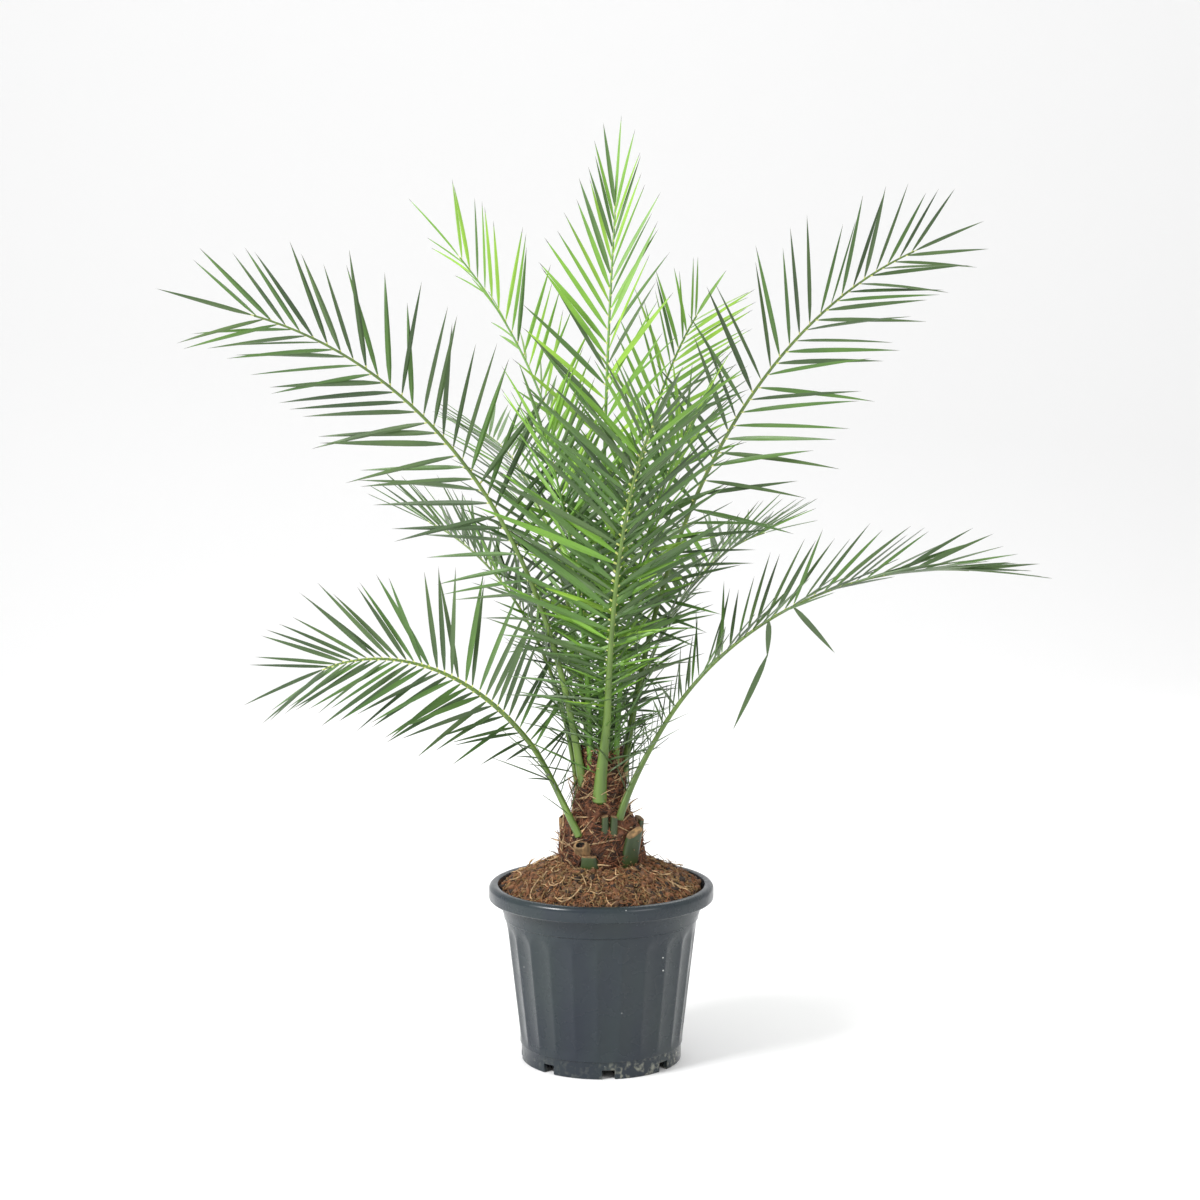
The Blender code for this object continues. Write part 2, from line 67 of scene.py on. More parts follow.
bl_info = {
    "name": "Potted Date Palm",
    "version": (1, 0, 0),
    "blender": (4, 5, 0),
    "location": "View3D > Sidebar > Palm",
    "description": "Dresses the frame of a potted date palm with its leaves, fibre, soil and pot",
    "category": "Add Mesh",
}

BODY = "root"
SEED = 11
UP = np.array((0.0, 0.0, 1.0))
# Radius of the ring next to the axis of what is turned
AXIS_RADIUS = 0.002

# Pot
RIM_RADIUS = 0.180
POT_HEIGHT = 0.285
LIP_HEIGHT = 0.025
LIP_ROUNDING = 0.008
COLLAR_FOOT_RADIUS = 0.1560
COLLAR_FOOT_HEIGHT = 0.2315
COLLAR_STEP = 0.0025
COLLAR_BEAD = (0.0010, 0.0008)
BODY_FOOT_RADIUS = 0.1303
BODY_FOOT_HEIGHT = 0.030
BODY_RINGS = 34
BASE_RING_RADIUS = 0.1288
BASE_RING_HEIGHT = 0.027
FLOOR_TOP = 0.014
# Radius and height, outwards and up from under the floor's middle to the foot of the body
POT_FOOT = (
    (AXIS_RADIUS, 0.0), (0.0450, 0.0), (0.0450, 0.0100), (0.1208, 0.0100), (0.1208, 0.0006),
    (0.1214, 0.0), (0.1270, 0.0), (0.1283, 0.0012), (0.1288, 0.0260), (0.1292, 0.0270),
    (0.1307, 0.0280), (0.1307, 0.0300),
)
# Radius and height, up the collar to the underside of the lip
POT_COLLAR = (
    (0.1566, 0.2355), (0.1635, 0.2590), (0.1645, 0.2600),
)
# Radius and height, down the inside from the lip to the middle of the floor
POT_INSIDE = (
    (0.1680, 0.2847), (0.1660, 0.2838), (0.1650, 0.2815), (0.1605, 0.2600), (0.1505, 0.2315),
    (0.1258, FLOOR_TOP), (AXIS_RADIUS, FLOOR_TOP),
)
NOTCH_COUNT = 8
NOTCH_HEADING = -85
NOTCH_SIZE = (0.030, 0.020, 0.030)
PANEL_COUNT = 24
PANEL_POINTS = 16
PANEL_TOP = 0.222
PANEL_ARCH = 0.010
PANEL_FOOT = 0.031
PANEL_FADE = 0.012
# Depth of a panel over that of a flat side between its creases
PANEL_DEPTH = 2.4
POT_SHARP_ANGLE = 28

# Soil
SOIL_HEIGHTS = (
    (0.000, 0.320),
    (0.066, 0.318),
    (0.095, 0.308),
    (0.130, 0.292),
    (0.152, 0.280),
    (0.1615, 0.271),
)
SOIL_SKIRT = ((AXIS_RADIUS, 0.240), (0.1540, 0.240), (0.1612, 0.262))
SOIL_TOP_RADIUS = 0.020
# Height, size and number of waves
SOIL_LUMPS = ((0.0036, 0.034, 18), (0.0026, 0.013, 18), (0.0016, 0.005, 30))
# The lumps fade towards this radius, over this width, down to this share.
SOIL_FADE = (0.1635, 0.006, 0.15)
SCATTER_RADII = (0.066, 0.158)
STRAND_TAPER = np.array((0.6, 1.0, 1.0, 0.95, 0.8, 0.4))
CRUMB_RADII = (0.060, 0.158)

# Trunk
TRUNK_OUTLINE = (
    (0.062, 0.300),
    (0.064, 0.318),
    (0.064, 0.345),
    (0.060, 0.372),
    (0.051, 0.388),
    (0.042, 0.402),
    (0.037, 0.425),
    (0.035, 0.450),
    (0.031, 0.470),
    (0.022, 0.482),
    (0.004, 0.486),
)
TRUNK_RADII, TRUNK_HEIGHTS = zip(*TRUNK_OUTLINE)
# Height, size and number of waves
TRUNK_LUMPS = ((0.0036, 0.036, 18), (0.0022, 0.013, 18), (0.0010, 0.005, 30))
WEAVE_TURNS = 46
WEAVE_PITCH = 900
WEAVE_WANDER = 750
WEAVE_HEIGHT = 0.0006
TRUNK_FADE_RADIUS = 0.030
FIBRE_HEIGHTS = (0.306, 0.500)
FIBRE_END_HEIGHTS = (0.302, 0.535)
FIBRE_LEAST_RADIUS = 0.029
FIBRE_TAPER = np.array((0.7, 1.0, 1.0, 0.9, 0.7, 0.3))
# A cut foot: shares of its length and width at its rings
CUT_SHARES = np.array((0.0, 0.15, 0.35, 0.6, 0.85, 0.97, 1.0, 1.0, 1.0))
CUT_SIZES = np.array((0.85, 1.0, 1.0, 0.92, 0.84, 0.80, 0.76, 0.50, 0.40))
CUT_HOLLOW_DEPTH = 0.35
CutFoot = namedtuple("CutFoot", "heading height width depth length lean slant hollow")
CUT_FEET = (
    (243, 0.352, 0.030, 0.020, 0.020, 44, 0.1, True),
    (276, 0.383, 0.012, 0.012, 0.042, 6, 0.2, False),
    (290, 0.381, 0.013, 0.012, 0.044, 6, -0.2, False),
    (314, 0.346, 0.034, 0.018, 0.066, 16, 0.5, False),
    (254, 0.326, 0.030, 0.014, 0.032, 12, 0.0, False),
    (24, 0.362, 0.028, 0.014, 0.046, 10, 0.2, False),
    (56, 0.346, 0.030, 0.016, 0.050, 12, -0.3, True),
    (88, 0.372, 0.026, 0.014, 0.044, 8, 0.3, False),
    (122, 0.348, 0.030, 0.016, 0.052, 12, 0.2, False),
    (158, 0.364, 0.026, 0.014, 0.046, 8, -0.2, True),
)

# Strands of one kind: the piece, its material, its colour, how many, their length and radius, how far
# they stand off, and the sides of their section
Strands = namedtuple("Strands", "piece look colour count length radius loose sides")
STRAND_STATIONS = 6

# Fronds
Frond = namedtuple(
    "Frond",
    "foot_heading foot_radius foot_height heading sweep start end bend length roll leaflet spread width "
    "shades",
)
# The shades are parts in twenty of each of LEAF_SHADES.
FRONDS = {
    "left_high": Frond(207, 0.030, 0.440, 207, 0, 80, 15, 1.5, 0.97, 72, 0.20, 1.0, 0.020, (5, 9, 6, 0, 0)),
    "right_high": Frond(12, 0.031, 0.440, 25, 0, 80, 22, 1.6, 1.06, 68, 0.20, 1.0, 0.020, (6, 9, 5, 0, 0)),
    "right_low": Frond(350, 0.038, 0.400, 350, 0, 74, -3, 1.05, 0.72, 18, 0.17, 0.8, 0.017, (7, 9, 4, 0, 0)),
    "left_low": Frond(180, 0.036, 0.385, 180, 0, 62, -22, 1.7, 0.52, -72, 0.19, 1.0, 0.017, (8, 8, 4, 0, 0)),
    # The centre and back fronds take mostly the bright and light shades, partly as painted light: the glow
    # of backlit leaves.
    "centre": Frond(270, 0.002, 0.455, 72, 0, 90, 78, 1.6, 0.91, 0, 0.20, 0.80, 0.014, (0, 1, 6, 10, 3)),
    "back_left": Frond(145, 0.024, 0.445, 88, 70, 88, 48, 1.1, 0.92, 60, 0.19, 1.0, 0.016, (0, 0, 2, 11, 7)),
    "back_right": Frond(62, 0.024, 0.445, 60, 0, 87, 38, 1.6, 0.83, 35, 0.19, 0.9, 0.016, (0, 0, 4, 11, 5)),
    "front": Frond(280, 0.036, 0.420, 284, 0, 86, 30, 1.7, 0.69, 0, 0.25, 1.0, 0.024, (1, 7, 10, 2, 0)),
    "left_mid": Frond(160, 0.036, 0.425, 150, 0, 80, 20, 1.5, 0.54, 20, 0.18, 1.0, 0.016, (2, 7, 8, 3, 0)),
    "right_mid": Frond(46, 0.037, 0.425, 42, 0, 78, 8, 1.5, 0.56, -10, 0.18, 1.0, 0.016, (3, 8, 8, 1, 0)),
    "back_low": Frond(82, 0.042, 0.395, 84, 0, 70, -4, 1.2, 0.72, 10, 0.19, 1.0, 0.017, (6, 9, 5, 0, 0)),
    "back_mid": Frond(112, 0.035, 0.425, 114, 0, 78, 8, 1.5, 0.78, 0, 0.20, 1.0, 0.017, (2, 7, 8, 3, 0)),
    "front_right": Frond(326, 0.026, 0.440, 322, 0, 88, 58, 1.5, 0.60, 0, 0.19, 0.9, 0.014, (0, 3, 8, 7, 2)),
    "front_left": Frond(232, 0.026, 0.440, 238, 0, 88, 60, 1.5, 0.58, 0, 0.19, 0.9, 0.014, (0, 3, 8, 7, 2)),
}
YOUNG_FRONDS = ("centre", "back_left", "back_right", "front_right", "front_left")
# The bright and light shades are the fresher green of young leaflets together with painted light: the glow
# of backlit leaflets, which these opaque leaves don't let through.
LEAF_SHADES = ("deep", "olive", "green", "bright", "light")
FOOT_SHADE = len(LEAF_SHADES)
TIP_SHADE = FOOT_SHADE + 1

# Stalks
# Heading and height of the feet of stalks that leave the trunk's skin in front of their path
STALK_FEET = {
    "left_low": (236, 0.372),
    "right_low": (306, 0.396),
    "front": (266, 0.424),
}
STALK_FOOT_REACH = 0.15
STALK_FOOT_POINT = 0.40
STALK_TIP_WIDTH = 0.0030
STALK_SPREAD = 0.0055
STALK_FLARE_LENGTH = 0.130
STALK_DEPTH_SHARE = 0.75
STALK_STATIONS = 90
STALK_SIDES = 12
PATH_STEPS = 161
ROLL_REACH = 0.5

# Leaflets
FIRST_LEAFLET = 0.14
LOW_ANGLE = 82
ANGLE_FALL = 52
ANGLE_POWER = 1.5
# Fronds whose leaflets close up more towards the tip
CLOSING_FALL = {"right_low": 70, "left_low": 60, "centre": 64}
# Length and width of leaflets along the stalk, as shares of the greatest
LENGTH_ALONG = ((0.0, 0.45), (0.15, 0.75), (0.45, 1.0), (0.80, 0.88), (1.0, 0.72))
WIDTH_ALONG = ((0.0, 0.60), (0.35, 1.0))
END_LEAFLET_SHARE = 0.75
# Half width of a leaflet at shares of its length
LEAFLET_SHARES = np.array((0.0, 0.035, 0.08, 0.18, 0.32, 0.48, 0.64, 0.80, 0.93))
LEAFLET_WIDTHS = np.array((0.26, 0.30, 0.52, 0.88, 1.0, 0.94, 0.76, 0.48, 0.17))
LEAFLET_SIDES = 4
# Share of the stalk, direction and length of each stray leaflet, the last of which goes on from the
# end of the one before it
STRAY_FROND = "right_low"
STRAY_LEAFLETS = (
    (0.61, (0.67, 0.0, -0.74), 0.100),
    (0.55, (-0.05, -0.2, -1.0), 0.060),
    (0.55, (-0.42, -0.1, -0.91), 0.130),
)
STRAY_CREASE = 0.92
STRAY_FULL_LENGTH = 0.20

# Stage
# Name, place, size and power
LAMPS = (
    ("key", (-3.2, -2.2, 3.2), 1.6, 230.0),
    ("fill", (3.0, -3.2, 2.0), 2.0, 45.0),
    ("back", (0.5, 2.6, 3.8), 2.5, 60.0),
)
LAMP_TARGET = np.array((0.0, 0.0, 0.6))


class PalmSizes(PropertyGroup):
    """Sizes and counts of what grows on the frame."""

    leaflet_pairs: IntProperty(name="Leaflet pairs", description="Pairs on a frond", default=36)
    leaflet_width: FloatProperty(
        name="Leaflet width", description="Share of a leaflet's length", default=0.048
    )
    leaflet_fold: FloatProperty(
        name="Leaflet fold", description="Rise of its edges over its half width", default=0.36
    )
    threads: IntProperty(name="Threads", description="Thin leaves low on a stalk", default=12)
    fibres: IntProperty(name="Trunk fibres", description="Loose fibres on the trunk", default=1500)
    strands: IntProperty(name="Soil strands", description="Strands on the soil", default=2600)
    crumbs: IntProperty(name="Soil crumbs", description="Crumbs of soil", default=2200)


def colour_property(name, description, colour):
    """A colour that the panel shows as a swatch."""
    return FloatVectorProperty(
        name=name, description=description, subtype="COLOR", size=3, min=0, max=1, default=colour
    )


class PalmColours(PropertyGroup):
    """Base colours of the palm, its soil and its pot, as linear light."""

    pot: colour_property("Pot", "Slate-grey plastic", (0.017, 0.024, 0.031))
    soil: colour_property("Soil", "Moist peat", (0.062, 0.032, 0.016))
    red_fibre: colour_property("Red fibre", "Coconut fibre", (0.260, 0.110, 0.045))
    straw: colour_property("Straw", "Dry pale strands", (0.560, 0.380, 0.200))
    bark: colour_property("Trunk fibre", "Matted leaf sheath", (0.105, 0.040, 0.018))
    deep: colour_property("Deep leaf", "Oldest leaflets", (0.040, 0.080, 0.024))
    olive: colour_property("Olive leaf", "Old leaflets", (0.060, 0.112, 0.034))
    green: colour_property("Green leaf", "Full leaflets", (0.068, 0.150, 0.030))
    # Bright leaf and light leaf hold painted backlight glow as well as the fresher green of young leaflets.
    bright: colour_property("Bright leaf", "Young leaflets", (0.130, 0.290, 0.028))
    light: colour_property("Light leaf", "Youngest leaflets", (0.210, 0.400, 0.040))
    foot: colour_property("Leaflet foot", "Pale swelling at the stalk", (0.480, 0.520, 0.150))
    tip: colour_property("Leaflet tip", "Dry needle tips", (0.075, 0.085, 0.050))
    stalk: colour_property("Stalk", "Yellow-green stalks", (0.120, 0.215, 0.040))


# Arrays and meshes


Skin = namedtuple("Skin", "points quads triangles quad_kinds triangle_kinds marks")


def unit(vectors):
    """The vectors at length one."""
    return vectors / np.linalg.norm(vectors, axis=-1, keepdims=True)


def full_turn(points):
    """Headings all round, evenly, with the first not repeated."""
    return np.linspace(0, 2 * math.pi, points, endpoint=False)


def on_axis(height):
    """One point on the Z axis, as a row."""
    return np.array([[0.0, 0.0, height]])


def ripple(points, size, rng, waves):
    """Smooth noise: a sum of sines along random directions, with wavelengths about the size."""
    directions = unit(rng.normal(size=(waves, 3)))
    lengths = size * rng.uniform(0.6, 1.6, waves)
    phases = rng.uniform(0, 2 * math.pi, waves)
    angles = points @ (directions / lengths[:, None] * 2 * math.pi).T + phases
    return np.sin(angles).sum(axis=-1) / math.sqrt(waves)


def lumps(points, rows, rng):
    """Lumps of several sizes, from rows of height, size and number of waves."""
    return sum(height * ripple(points, size, rng, waves) for height, size, waves in rows)


def turned(radius, heading, height):
    """Points about the Z axis, from a radius, heading and height for each."""
    flat = radius * np.cos(heading), radius * np.sin(heading)
    return np.stack(np.broadcast_arrays(*flat, height), axis=-1)


def skin(rings, start, end, kinds=None, marks=None):
    """Closed skins over runs of rings, each closed by a fan to its start and its end point.

    rings is (runs, stations, sides, 3). A ring's points turn to the right-hand rule about the way
    the run goes, so that the faces point outwards. kinds is a material number for each run and
    stretch between stations, and marks is a value pair for each point of the rings.
    """
    runs, stations, sides, _ = rings.shape
    each = stations * sides + 2
    points = np.concatenate((rings.reshape(runs, -1, 3), start[:, None], end[:, None]), axis=1)
    here = np.arange(sides)
    after = (here + 1) % sides
    row = np.arange(stations - 1)[:, None] * sides
    quads = np.stack((row + here, row + after, row + sides + after, row + sides + here), axis=-1)
    last = (stations - 1) * sides
    low = np.stack((after, here, np.full(sides, each - 2)), axis=-1)
    high = np.stack((last + here, last + after, np.full(sides, each - 1)), axis=-1)
    offset = (np.arange(runs) * each)[:, None, None]
    if kinds is None:
        kinds = np.zeros((runs, stations - 1), int)
    if marks is None:
        marks = np.zeros((runs, stations, sides, 2))
    ends = marks[:, [0, -1]].mean(axis=2)
    return Skin(
        points.reshape(-1, 3),
        (quads.reshape(1, -1, 4) + offset).reshape(-1, 4),
        (np.concatenate((low, high))[None] + offset).reshape(-1, 3),
        np.repeat(kinds, sides, axis=1).ravel(),
        np.repeat(kinds[:, [0, -1]], sides, axis=1).ravel(),
        np.concatenate((marks.reshape(runs, -1, 2), ends), axis=1).reshape(-1, 2),
    )


def joined(skins):
    """Several skins as one."""
    offsets = np.cumsum([0] + [len(part.points) for part in skins[:-1]])
    moved = [
        part._replace(quads=part.quads + offset, triangles=part.triangles + offset)
        for part, offset in zip(skins, offsets)
    ]
    return Skin(*(np.concatenate(column) for column in zip(*moved)))


def placed(name, data):
    """A new object in the scene."""
    made = bpy.data.objects.new(name, data)
    bpy.context.scene.collection.objects.link(made)
    return made


def add_piece(name, made, materials, nodes=(), sharp=None):
    """A piece of the palm from a skin: smooth, with edges sharper than the angle left sharp."""
    mesh = bpy.data.meshes.new(name)
    loops = np.concatenate((made.quads.ravel(), made.triangles.ravel())).astype(np.int32)
    quad_starts = np.arange(len(made.quads)) * 4
    triangle_starts = 4 * len(made.quads) + np.arange(len(made.triangles)) * 3
    starts = np.concatenate((quad_starts, triangle_starts)).astype(np.int32)
    kinds = np.concatenate((made.quad_kinds, made.triangle_kinds)).astype(np.int32)
    mesh.vertices.add(len(made.points))
    mesh.vertices.foreach_set("co", made.points.astype(np.float32).ravel())
    mesh.loops.add(len(loops))
    mesh.loops.foreach_set("vertex_index", loops)
    mesh.polygons.add(len(starts))
    mesh.polygons.foreach_set("loop_start", starts)
    mesh.polygons.foreach_set("material_index", kinds)
    layer = mesh.uv_layers.new(name="UVMap")
    layer.data.foreach_set("uv", made.marks[loops].astype(np.float32).ravel())
    mesh.update(calc_edges=True)
    mesh.validate()
    for one in materials:
        mesh.materials.append(one)
    mesh.shade_smooth()
    if sharp is not None:
        mesh.set_sharp_from_angle(angle=math.radians(sharp))
    piece = placed(name, mesh)
    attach(piece, BODY)
    if nodes:
        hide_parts(*nodes)
    return piece


def tubes(paths, radii, sides, kinds=None):
    """Round strands: rings of even points about each path, square to it."""
    along = unit(np.gradient(paths, axis=1))
    reference = np.where(np.abs(along[:, :1, 2:]) > 0.8, np.array((1.0, 0.0, 0.0)), UP)
    side = unit(np.cross(along, reference))
    above = np.cross(side, along)
    turn = full_turn(sides)[:, None]
    rings = paths[:, :, None] + radii[:, :, None, None] * (
        np.cos(turn) * side[:, :, None] - np.sin(turn) * above[:, :, None]
    )
    start = paths[:, 0] - along[:, 0] * radii[:, :1]
    end = paths[:, -1] + along[:, -1] * radii[:, -1:]
    return skin(rings, start, end, kinds)


def blades(root, along, up, length, width, fold, sag, kinds):
    """Folded leaflets: a thin V section carried along a line that sags as the square of its length.

    The half width follows LEAFLET_WIDTHS. The edges rise above the fold by the fold's share of it.
    """
    across = unit(np.cross(along, up))
    lift = np.cross(across, along)
    share = LEAFLET_SHARES[None, :, None]
    long = length[:, None, None]
    centre = root[:, None] + along[:, None] * long * share + sag[:, None] * long * share**2
    half = width[:, None, None] / 2 * LEAFLET_WIDTHS[None, :, None]
    thick = 0.0005 + 0.06 * half
    left = centre - across[:, None] * half + lift[:, None] * fold * half
    right = centre + across[:, None] * half + lift[:, None] * fold * half
    top = centre + lift[:, None] * thick
    low = centre - lift[:, None] * thick
    rings = np.stack((left, top, right, low), axis=2)
    tip = root + along * length[:, None] + sag * length[:, None]
    marks = np.zeros((*rings.shape[:3], 2))
    marks[..., 0] = np.array((0.0, 0.5, 1.0, 0.5))
    marks[..., 1] = LEAFLET_SHARES[None, :, None]
    return skin(rings, root, tip, kinds, marks)


def blade_kinds(shades):
    """One shade for each blade, at every stretch between its stations."""
    return np.repeat(shades[:, None], len(LEAFLET_SHARES) - 1, axis=1)


# Materials


def shader_of(made):
    """The material's Principled BSDF."""
    return made.node_tree.nodes["Principled BSDF"]


def plain_material(name, colour, roughness):
    """A Principled BSDF, whose constant values sit on its own sockets."""
    made = bpy.data.materials.new(name)
    made.use_nodes = True
    shader = shader_of(made)
    shader.inputs["Base Color"].default_value = (*colour, 1.0)
    shader.inputs["Roughness"].default_value = roughness
    made.diffuse_color = (*colour, 1.0)
    return made


def node(made, kind, **values):
    """A new node of the material, with its settings and the values of its inputs."""
    new = made.node_tree.nodes.new(kind)
    for key, value in values.items():
        if key in new.inputs:
            new.inputs[key].default_value = value
        else:
            setattr(new, key, value)
    return new


def link(made, output, target):
    """Joins an output to an input."""
    made.node_tree.links.new(output, target)


def to_shader(made, socket, name):
    """Joins an output to the named input of the shader."""
    link(made, socket, shader_of(made).inputs[name])


def noise(made, scale, detail=4.0, stretch=(1.0, 1.0, 1.0), source="Object"):
    """Noise on the piece's own coordinates, drawn out along the axes that stretch makes small."""
    place = node(made, "ShaderNodeTexCoord")
    mapping = node(made, "ShaderNodeMapping", Scale=stretch)
    link(made, place.outputs[source], mapping.inputs["Vector"])
    new = node(made, "ShaderNodeTexNoise", Scale=scale, Detail=detail)
    link(made, mapping.outputs["Vector"], new.inputs["Vector"])
    return new.outputs["Fac"]


def ramp(made, value, stops):
    """Colours by value, from a list of (value, colour)."""
    new = node(made, "ShaderNodeValToRGB")
    elements = new.color_ramp.elements
    while len(elements) < len(stops):
        elements.new(0.5)
    for element, (place, colour) in zip(elements, stops):
        element.position = place
        element.color = (*colour, 1.0)
    link(made, value, new.inputs["Fac"])
    return new.outputs["Color"]


def greys(*stops):
    """Stops for a ramp, from pairs of value and grey."""
    return [(place, (grey, grey, grey)) for place, grey in stops]


def mix(made, factor, first, second):
    """Colour mixed by a factor socket, where either colour may be plain."""
    new = node(made, "ShaderNodeMix", data_type="RGBA")
    link(made, factor, new.inputs["Factor"])
    for socket, colour in ((new.inputs[6], first), (new.inputs[7], second)):
        if isinstance(colour, tuple):
            socket.default_value = (*colour, 1.0)
        else:
            link(made, colour, socket)
    return new.outputs[2]


def times(made, first, second):
    """The product of two value sockets."""
    new = node(made, "ShaderNodeMath", operation="MULTIPLY")
    link(made, first, new.inputs[0])
    link(made, second, new.inputs[1])
    return new.outputs["Value"]


def ranged(made, value, start, end, low=0.0, high=1.0):
    """The value's way from start to end, as a value from low to high."""
    limits = {"From Min": start, "From Max": end, "To Min": low, "To Max": high}
    new = node(made, "ShaderNodeMapRange", **limits)
    link(made, value, new.inputs["Value"])
    return new.outputs["Result"]


def bump(made, height, distance, strength=1.0):
    """Relief in the shader's normal."""
    new = node(made, "ShaderNodeBump", Distance=distance, Strength=strength)
    link(made, height, new.inputs["Height"])
    to_shader(made, new.outputs["Normal"], "Normal")


def tinted(colour, factor, shift=(1.0, 1.0, 1.0)):
    """The colour made lighter or darker, with each channel shifted too."""
    return tuple(min(1.0, c * factor * s) for c, s in zip(colour, shift))


def leaf_material(name, colour):
    """Leaf skin: slightly uneven green with fine veins along the leaflet."""
    made = plain_material(name, colour, 0.42)
    dull = tinted(colour, 0.80, (0.95, 0.98, 1.1))
    fresh = tinted(colour, 1.22, (1.08, 1.02, 0.9))
    uneven = noise(made, 9.0, 3.0)
    to_shader(made, ramp(made, uneven, [(0.30, dull), (0.70, fresh)]), "Base Color")
    bump(made, noise(made, 26.0, 2.0, (1.0, 0.05, 1.0), "UV"), 0.0003, 0.5)
    return made


def fibre_material(name, colour, roughness=0.85):
    """Dry fibre: streaks of lighter and darker strands."""
    made = plain_material(name, colour, roughness)
    streaks = noise(made, 160.0, 4.0, (1.0, 1.0, 0.35))
    dark = tinted(colour, 0.45)
    pale = tinted(colour, 1.75, (1.0, 0.95, 0.9))
    to_shader(made, ramp(made, streaks, [(0.32, dark), (0.52, colour), (0.72, pale)]), "Base Color")
    bump(made, streaks, 0.0012, 0.8)
    return made


def earth_material(soil, red):
    """Moist peat with coarse patches of red fibre between dark crumbs."""
    made = plain_material("soil_peat", soil, 0.95)
    crumbs = noise(made, 210.0, 6.0)
    patches = ramp(made, noise(made, 17.0, 2.0), greys((0.46, 0.0), (0.60, 1.0)))
    brown = [(0.34, tinted(soil, 0.25)), (0.50, soil), (0.68, tinted(soil, 3.0, (1.0, 0.9, 0.7)))]
    reddish = [(0.34, tinted(red, 0.16)), (0.52, tinted(red, 0.55)), (0.70, tinted(red, 1.3))]
    colour = mix(made, patches, ramp(made, crumbs, brown), ramp(made, crumbs, reddish))
    to_shader(made, colour, "Base Color")
    bump(made, crumbs, 0.004)
    return made


def pot_material(slate):
    """Moulded slate plastic: faint cloudy tints, pale specks, scuffs, and dust by the ground."""
    made = plain_material("pot_plastic", slate, 0.30)
    shader_of(made).inputs["Specular IOR Level"].default_value = 0.38
    place = node(made, "ShaderNodeTexCoord").outputs["Object"]
    parts = node(made, "ShaderNodeSeparateXYZ")
    link(made, place, parts.inputs["Vector"])
    clouds = noise(made, 14.0, 5.0, (1.0, 1.0, 0.4))
    cool = tinted(slate, 0.85, (1.0, 1.0, 1.15))
    warm = tinted(slate, 1.2, (1.0, 1.05, 0.9))
    colour = ramp(made, clouds, [(0.32, cool), (0.68, warm)])
    # Specks lie in a few patches only.
    cells = node(made, "ShaderNodeTexVoronoi", Scale=52.0, Randomness=1.0)
    link(made, place, cells.inputs["Vector"])
    specks = ramp(made, cells.outputs["Distance"], greys((0.045, 1.0), (0.075, 0.0)))
    patches = ramp(made, noise(made, 23.0, 1.0), greys((0.60, 0.0), (0.64, 1.0)))
    colour = mix(made, times(made, specks, patches), colour, (0.62, 0.64, 0.62))
    # The base ring is dusty, most of all on its right half.
    ring = ranged(made, parts.outputs["Z"], BASE_RING_HEIGHT + 0.004, BASE_RING_HEIGHT - 0.006)
    dust = times(made, ramp(made, noise(made, 120.0, 6.0), greys((0.50, 0.0), (0.66, 0.8))), ring)
    dust = times(made, dust, ranged(made, parts.outputs["X"], -0.01, 0.03, 0.12, 0.75))
    to_shader(made, mix(made, dust, colour, (0.30, 0.30, 0.24)), "Base Color")
    worn = ramp(made, noise(made, 30.0, 6.0), greys((0.35, 0.20), (0.70, 0.34)))
    to_shader(made, worn, "Roughness")
    bump(made, noise(made, 60.0, 3.0, (1.0, 1.0, 0.2)), 0.0004, 0.35)
    return made


def stalk_material(name, colour):
    """Stalk skin: satin, with long pale and dark streaks."""
    made = plain_material(name, colour, 0.38)
    streaks = noise(made, 70.0, 3.0, (1.0, 1.0, 0.12))
    stops = [(0.30, tinted(colour, 0.72)), (0.70, tinted(colour, 1.25, (1.1, 1.0, 0.9)))]
    to_shader(made, ramp(made, streaks, stops), "Base Color")
    bump(made, streaks, 0.0004, 0.4)
    return made


# Pot


def arc(radius, height, wide, high, degrees):
    """Radius and height of points on an ellipse, about its centre."""
    turn = np.radians(degrees)
    return np.stack((radius + wide * np.cos(turn), height + high * np.sin(turn)), axis=1)


def pot_outline():
    """Radius and height from under the floor's middle, up the outside, over the lip and back inside."""
    foot = np.array((BODY_FOOT_RADIUS, BODY_FOOT_HEIGHT))
    top = np.array((COLLAR_FOOT_RADIUS - COLLAR_STEP, COLLAR_FOOT_HEIGHT - COLLAR_STEP))
    share = np.linspace(0.03, 1.0, BODY_RINGS)[:, None]
    wide, high = COLLAR_BEAD
    half = LIP_ROUNDING / 2
    low_lip = POT_HEIGHT - LIP_HEIGHT + half
    top_lip = POT_HEIGHT - LIP_ROUNDING
    return np.concatenate(
        (
            POT_FOOT,
            foot + (top - foot) * share,
            arc(COLLAR_FOOT_RADIUS - wide, COLLAR_FOOT_HEIGHT, wide, high, (-60, -20, 20)),
            POT_COLLAR,
            arc(RIM_RADIUS - half, low_lip, half, half, (-90, -60, -30, 0)),
            arc(RIM_RADIUS - LIP_ROUNDING, top_lip, LIP_ROUNDING, LIP_ROUNDING, range(0, 91, 18)),
            POT_INSIDE,
        )
    )


def panel_share(headings, heights):
    """How far panels lie inside the round body, as a share of its radius that is below zero.

    It is nothing at the creases, and fades out at the foot and in an arch at the top.
    """
    pitch = 2 * math.pi / PANEL_COUNT
    first = math.radians(NOTCH_HEADING) - pitch / 2
    across = ((headings - first) / pitch) % 1.0 - 0.5
    flat = 1 - np.cos(across * pitch) / math.cos(pitch / 2)
    crest = PANEL_TOP - PANEL_ARCH * (2 * across) ** 2
    top = np.clip((crest[None] - heights[:, None]) / PANEL_FADE, 0, 1)
    foot = np.clip((heights[:, None] - PANEL_FOOT) / PANEL_FADE, 0, 1)
    return flat[None] * top * foot * PANEL_DEPTH


